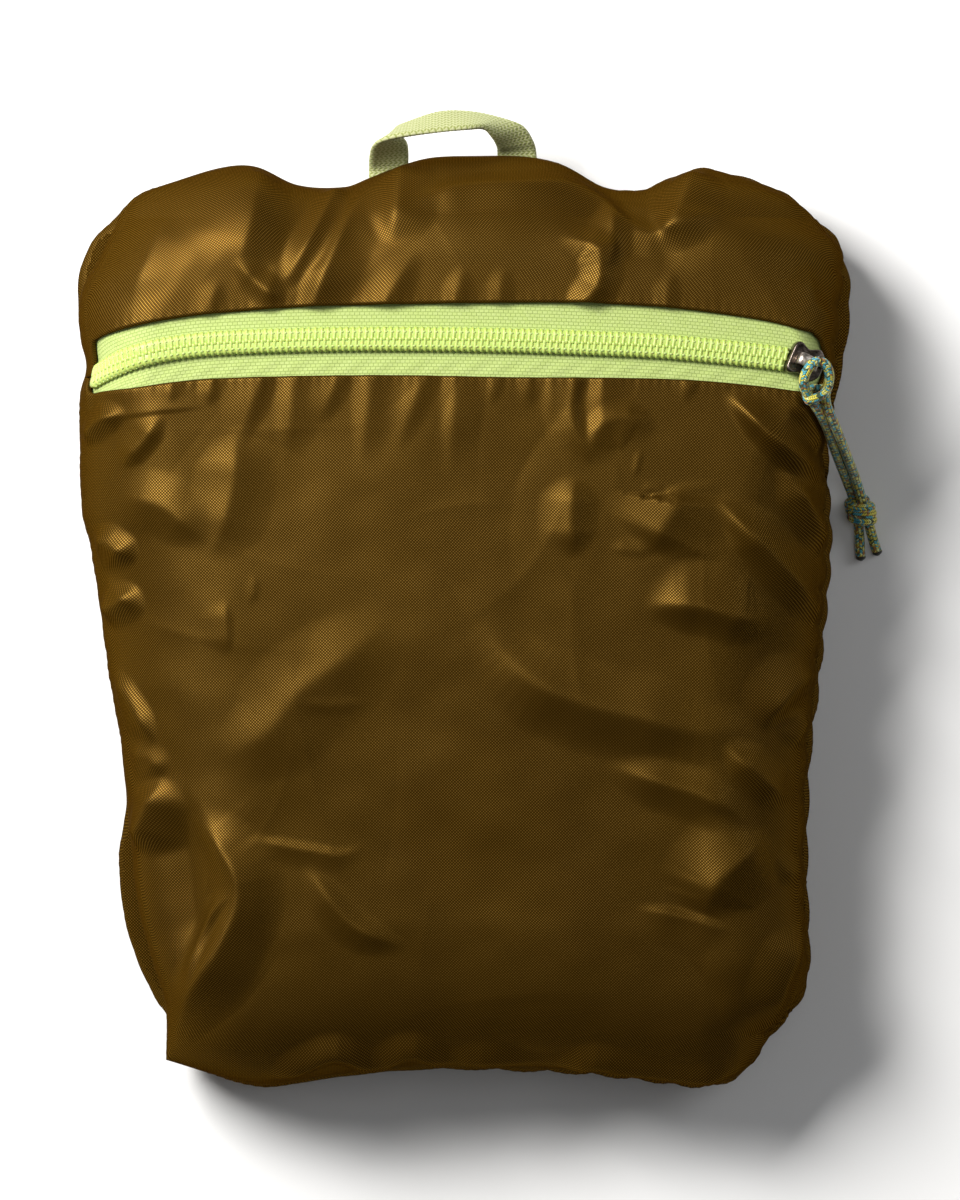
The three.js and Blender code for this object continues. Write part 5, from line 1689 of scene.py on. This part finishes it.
LOOP_EDGES = (
    LoopRow(-1, -0.6, 0, -0.533, -0.6, 0), LoopRow(-1, -0.25, 0, -0.533, -0.25, 0),
    LoopRow(-0.99, 0.02, 0.45, -0.53, 0.1, 0.1), LoopRow(-0.94, 0.24, 0.95, -0.555, 0.36, 0.18),
    LoopRow(-0.78, 0.36, 1.3, -0.66, 0.6, 0.45), LoopRow(-0.53, 0.44, 1.42, -0.5, 0.76, 0.52),
    LoopRow(-0.15, 0.52, 1.45, -0.15, 0.97, 0.56), LoopRow(0.18, 0.58, 1.4, 0.2, 0.97, 0.52),
    LoopRow(0.36, 0.6, 1.2, 0.56, 0.84, 0.42), LoopRow(0.46, 0.42, 0.85, 0.82, 0.7, 0.4),
    LoopRow(0.52, 0.24, 0.4, 0.95, 0.4, 0.22), LoopRow(0.533, 0.06, 0.04, 1, 0.06, 0),
    LoopRow(0.533, -0.6, 0, 1, -0.6, 0),
)


@dataclass(frozen=True)
class GrabLoop:
    """The webbing loop that is sewn into the top edge. Sizes are in mm."""

    span: float = 42
    rise: float = 11.5
    centre_share: float = -0.03
    leg_height: float = 17
    webbing_width: float = 9.8
    webbing_thickness: float = 1.4

    def edge(self, x: str, y: str, z: str) -> Array:
        """One edge of the webbing as a smooth line through its rows.

        Args:
            x: the column of its places across.
            y: the column of its places along.
            z: the column of its heights.
        Returns:
            Points, in mm.
        """
        rows = np.array([[getattr(row, x), getattr(row, y), getattr(row, z)] for row in LOOP_EDGES])
        scale = np.array([self.span / 2, self.rise, self.webbing_width])
        origin = np.array([self.centre_share * FORM.half_width, FORM.half_length, self.leg_height])
        fine = np.linspace(0, len(rows) - 1, 181)
        i = np.clip(np.searchsorted(np.arange(len(rows)), fine) - 1, 0, len(rows) - 2)
        curve = cubic(rows, np.gradient(rows, axis=0), i, 1.0, (fine - i)[:, None])
        return origin + curve * scale

    def ribbon(self) -> Skin:
        """The webbing: straight lines between its two edges, given a thickness with rounded borders.

        Returns:
            The closed surface.
        """
        a, b = self.edge("ax", "ay", "az"), self.edge("bx", "by", "bz")
        forward = unit(np.gradient(a + b, axis=0))
        face = unit(np.cross(b - a, forward))
        across = np.linspace(0, 1, 15)
        border = np.sqrt(np.clip(1 - ((np.abs(across - 0.5) * 2 - 0.86) / 0.14).clip(0) ** 2, 0.08, 1))
        upper = np.stack([across, border], -1)
        section = np.concatenate([upper, (upper * [1, -1])[::-1]])
        half = self.webbing_thickness / 2
        ridges = 0.06 * np.cos(np.linspace(0, 2 * np.pi * 90, len(a)))
        thick = half * section[None, :, 1:2] * (1 + ridges[:, None, None])
        rings = a[:, None] + (b - a)[:, None] * section[None, :, 0:1] + face[:, None] * thick
        length = lengths((a + b) / 2)
        places = np.broadcast_arrays(section[None, :, 0] * self.webbing_width, length[:, None])
        uv = np.concatenate([np.stack(places, -1).reshape(-1, 2), [[0, 0], [0, length[-1]]]])
        return capped(rings, (a + b)[[0, -1]] / 2, uv)

    def build(self, webbing: Material) -> None:
        """Makes the loop."""
        make_piece("loop_webbing", self.ribbon(), webbing, ["grab_loop"])


CORD_LEFT = (
    (87.6, 64.6, 50.9), (86.8, 64.4, 51.5), (85.5, 63.4, 52.6), (84.2, 61.3, 53.1), (83.9, 58.8, 51.6),
    (84.9, 56.6, 49.6), (86.3, 54.6, 46.9), (88.0, 52.2, 43.8), (89.8, 49.0, 38.3), (91.6, 45.0, 30.7),
    (93.2, 41.5, 23.0), (94.8, 38.2, 15.5), (96.3, 35.0, 9.5), (97.6, 31.8, 6.0), (98.7, 27.9, 4.2),
    (99.3, 23.9, 2.9), (99.6, 20.2, 1.9), (99.8, 16.6, 1.5),
)
CORD_RIGHT = (
    (88.0, 64.5, 50.8), (88.7, 64.2, 50.5), (89.8, 63.0, 49.8), (90.3, 60.9, 48.9), (90.0, 58.7, 48.0),
    (89.4, 56.6, 47.0), (89.6, 54.4, 45.6), (90.7, 51.7, 43.0), (92.2, 48.6, 38.6), (93.8, 45.2, 32.2),
    (95.4, 41.8, 24.8), (97.0, 38.6, 17.3), (98.3, 35.6, 11.8), (99.5, 32.2, 8.4), (100.8, 28.4, 6.1),
    (101.9, 24.5, 4.3), (102.9, 21.0, 2.6), (103.9, 17.9, 1.6),
)
KNOT_ROW = 14
HITCH_ROW = 5


@dataclass(frozen=True)
class PullCord:
    """The doubled pull cord: two halves from the bail down the right side, the knot and the sealed tips."""

    diameter: float = 2.5
    sides: int = 24
    spacing: float = 0.35

    def half(self, route: Sequence[Spot]) -> tuple[Skin, Array]:
        """One half of the cord and the line that it follows."""
        path = smooth_path(np.array(route), self.spacing)
        return tube(path, np.full(len(path), self.diameter / 2), self.sides), path

    def winding(
        self, row: int, turns: float, long_way: float, short_way: float, fall: float, radius: float,
    ) -> Skin:
        """One tube that winds round both strands, each turn lower than the last.

        The turns lie on an ellipse whose long way runs from one strand to the other. Their height falls with
        the angle, with a slight sway, and both ends are tucked in between the strands.

        Args:
            row: the row of the routes at its middle.
            turns: how often it goes round.
            long_way: half the ellipse's long way.
            short_way: half its short way.
            fall: how far it falls in all.
            radius: the tube's radius.
        Returns:
            The surface.
        """
        left, right = np.array(CORD_LEFT[row]), np.array(CORD_RIGHT[row])
        along = unit(np.array(CORD_LEFT[row + 1]) - np.array(CORD_LEFT[row - 1]))
        apart = right - left
        apart = unit(apart - along * np.dot(apart, along))
        out = np.cross(apart, along)
        steps_a_turn = 84
        tucked_turn = 0.19
        turn = np.linspace(0, 1, int(steps_a_turn * turns))
        angle = 2 * np.pi * turns * turn + 0.6
        tuck = 0.45 + 0.55 * ease(turn * turns / tucked_turn) * ease((1 - turn) * turns / tucked_turn)
        lower = fall * (turn - 0.5) + 0.35 * np.sin(angle + 0.8)
        across = apart * (long_way * tuck * np.cos(angle))[:, None]
        outwards = out * (short_way * tuck * np.sin(angle))[:, None]
        path = (left + right) / 2 + along * lower[:, None] + across + outwards
        return tube(path, np.full(len(path), radius), 18)

    def tip(self, route: Sequence[Spot]) -> Skin:
        """A sealed end: a squat ball over the last of the cord, a little wider than it.

        Args:
            route: the half's route, whose last step it follows.
        Returns:
            The surface.
        """
        end, before = np.array(route[-1]), np.array(route[-2])
        forward = unit(end - before)
        blob = ball(np.array([1.0, 1.28, 1.24]), 12, 20)
        side = unit(np.cross(forward, [0.0, 0.0, 1.0]))
        basis = np.stack([forward, side, np.cross(forward, side)])
        wobble = 1 + 0.06 * np.sin(blob.points @ np.array([3.1, 4.3, 2.2]))[:, None]
        return Skin(end + forward * 0.15 + (blob.points * wobble) @ basis, blob.faces)

    def build(self, braid: Material, melted: Material) -> None:
        """Makes the cord's pieces: the knot, the hitch, and each half with its sealed tip.

        Args:
            braid: finish of the cord.
            melted: finish of the tips.
        """
        tied = self.winding(
            KNOT_ROW, turns=3.1, long_way=2.75, short_way=2.35, fall=5.2, radius=1.22,
        )
        knot = make_piece("cord_knot", tied, braid, ["pull_cord_knot"])
        hitched = self.winding(
            HITCH_ROW, turns=1.6, long_way=2.5, short_way=1.7, fall=1.8, radius=1.15,
        )
        hitch = make_piece("cord_hitch", hitched, braid)
        for side, route, extra in (("left", CORD_LEFT, [knot, hitch]), ("right", CORD_RIGHT, [])):
            skin, path = self.half(route)
            strand = make_piece(f"cord_{side}", skin, braid, [f"pull_cord_{side}"])
            tip = make_piece(f"cord_tip_{side}", self.tip(route), melted)


@dataclass(frozen=True)
class Studio:
    """The table, the lights and the camera straight above. Lengths are in metres."""

    distance: float = 2.5
    view_height: float = 0.3
    aim: Spot = (0.0039, -0.0004, 0.022)
    film: float = 36

    def build(self, paper: Material) -> None:
        """Sets up the floor, a soft key from the upper left, two weak lights and the camera.

        Args:
            paper: finish of the table.
        """
        self.floor(paper)
        self.light("key", (-0.68, 0.57, 0.86), size=0.56, watts=27.5, colour=(1.0, 0.985, 0.96))
        self.light("fill", (0.8, 0.35, 0.5), size=0.5, watts=1.3, colour=(0.98, 0.99, 1.0))
        self.light("overhead", (0.5, 0.1, 2.4), size=1.2, watts=5.0, colour=(0.97, 0.985, 1.0))
        world = bpy.data.worlds.new("studio")
        world.use_nodes = True
        background = world.node_tree.nodes["Background"]
        background.inputs["Color"].default_value = (1, 1, 1, 1)
        background.inputs["Strength"].default_value = 0.08
        bpy.context.scene.world = world
        bpy.context.scene.view_settings.view_transform = "Standard"
        lens = bpy.data.cameras.new("camera")
        lens.sensor_fit = "VERTICAL"
        lens.sensor_height = self.film
        lens.lens = self.film * self.distance / self.view_height
        camera = bpy.data.objects.new("camera", lens)
        camera.location = Vector(self.aim) + Vector((0, 0, self.distance))
        bpy.context.scene.collection.objects.link(camera)
        bpy.context.scene.camera = camera

    def floor(self, paper: Material) -> None:
        """The table top, which isn't part of the object.

        Args:
            paper: its finish.
        """
        half = 3.0
        mesh = bpy.data.meshes.new("table_top")
        corners = [(-half, -half, 0), (half, -half, 0), (half, half, 0), (-half, half, 0)]
        mesh.from_pydata(corners, [], [(0, 1, 2, 3)])
        mesh.materials.append(paper)
        table = bpy.data.objects.new("table_top", mesh)
        bpy.context.scene.collection.objects.link(table)

    def light(self, name: str, place: Spot, size: float, watts: float, colour: Spot) -> None:
        """A square soft light that faces the pouch.

        Args:
            name: its name.
            place: where it stands.
            size: length of its side.
            watts: its power.
            colour: its red, green and blue.
        """
        data = bpy.data.lights.new(name, "AREA")
        data.size = size
        data.energy = watts
        data.color = colour
        lamp = bpy.data.objects.new(name, data)
        lamp.location = place
        lamp.rotation_euler = (Vector(self.aim) - Vector(place)).to_track_quat("-Z", "Y").to_euler()
        bpy.context.scene.collection.objects.link(lamp)


def main() -> None:
    """Builds the studio and every piece."""
    logging.basicConfig(level=logging.INFO, format="%(name)s: %(message)s")
    Studio().build(StudioPaper().material())
    PullCord().build(BraidedCord().material(), MeltedTip().material())
    # The bail's plating is a much lighter copy of the slider's: a painted highlight, with brighter worn marks
    # on it.
    rubbed_and_highlight = PlatedCasting(name="bail_highlight_plating", base="a89c90", rubbed_and_highlight="d8cec4", roughness=0.34)
    ZipClosure().build(
        WovenTape().material(), CoilFilament().material(), SewingThread().material(),
        PlatedCasting().material(), rubbed_and_highlight.material(),
    )
    GrabLoop().build(RibbedWebbing().material())
    ShellPanels().build(ShotNylon().material())
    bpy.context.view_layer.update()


if __name__ == "__main__":
    main()
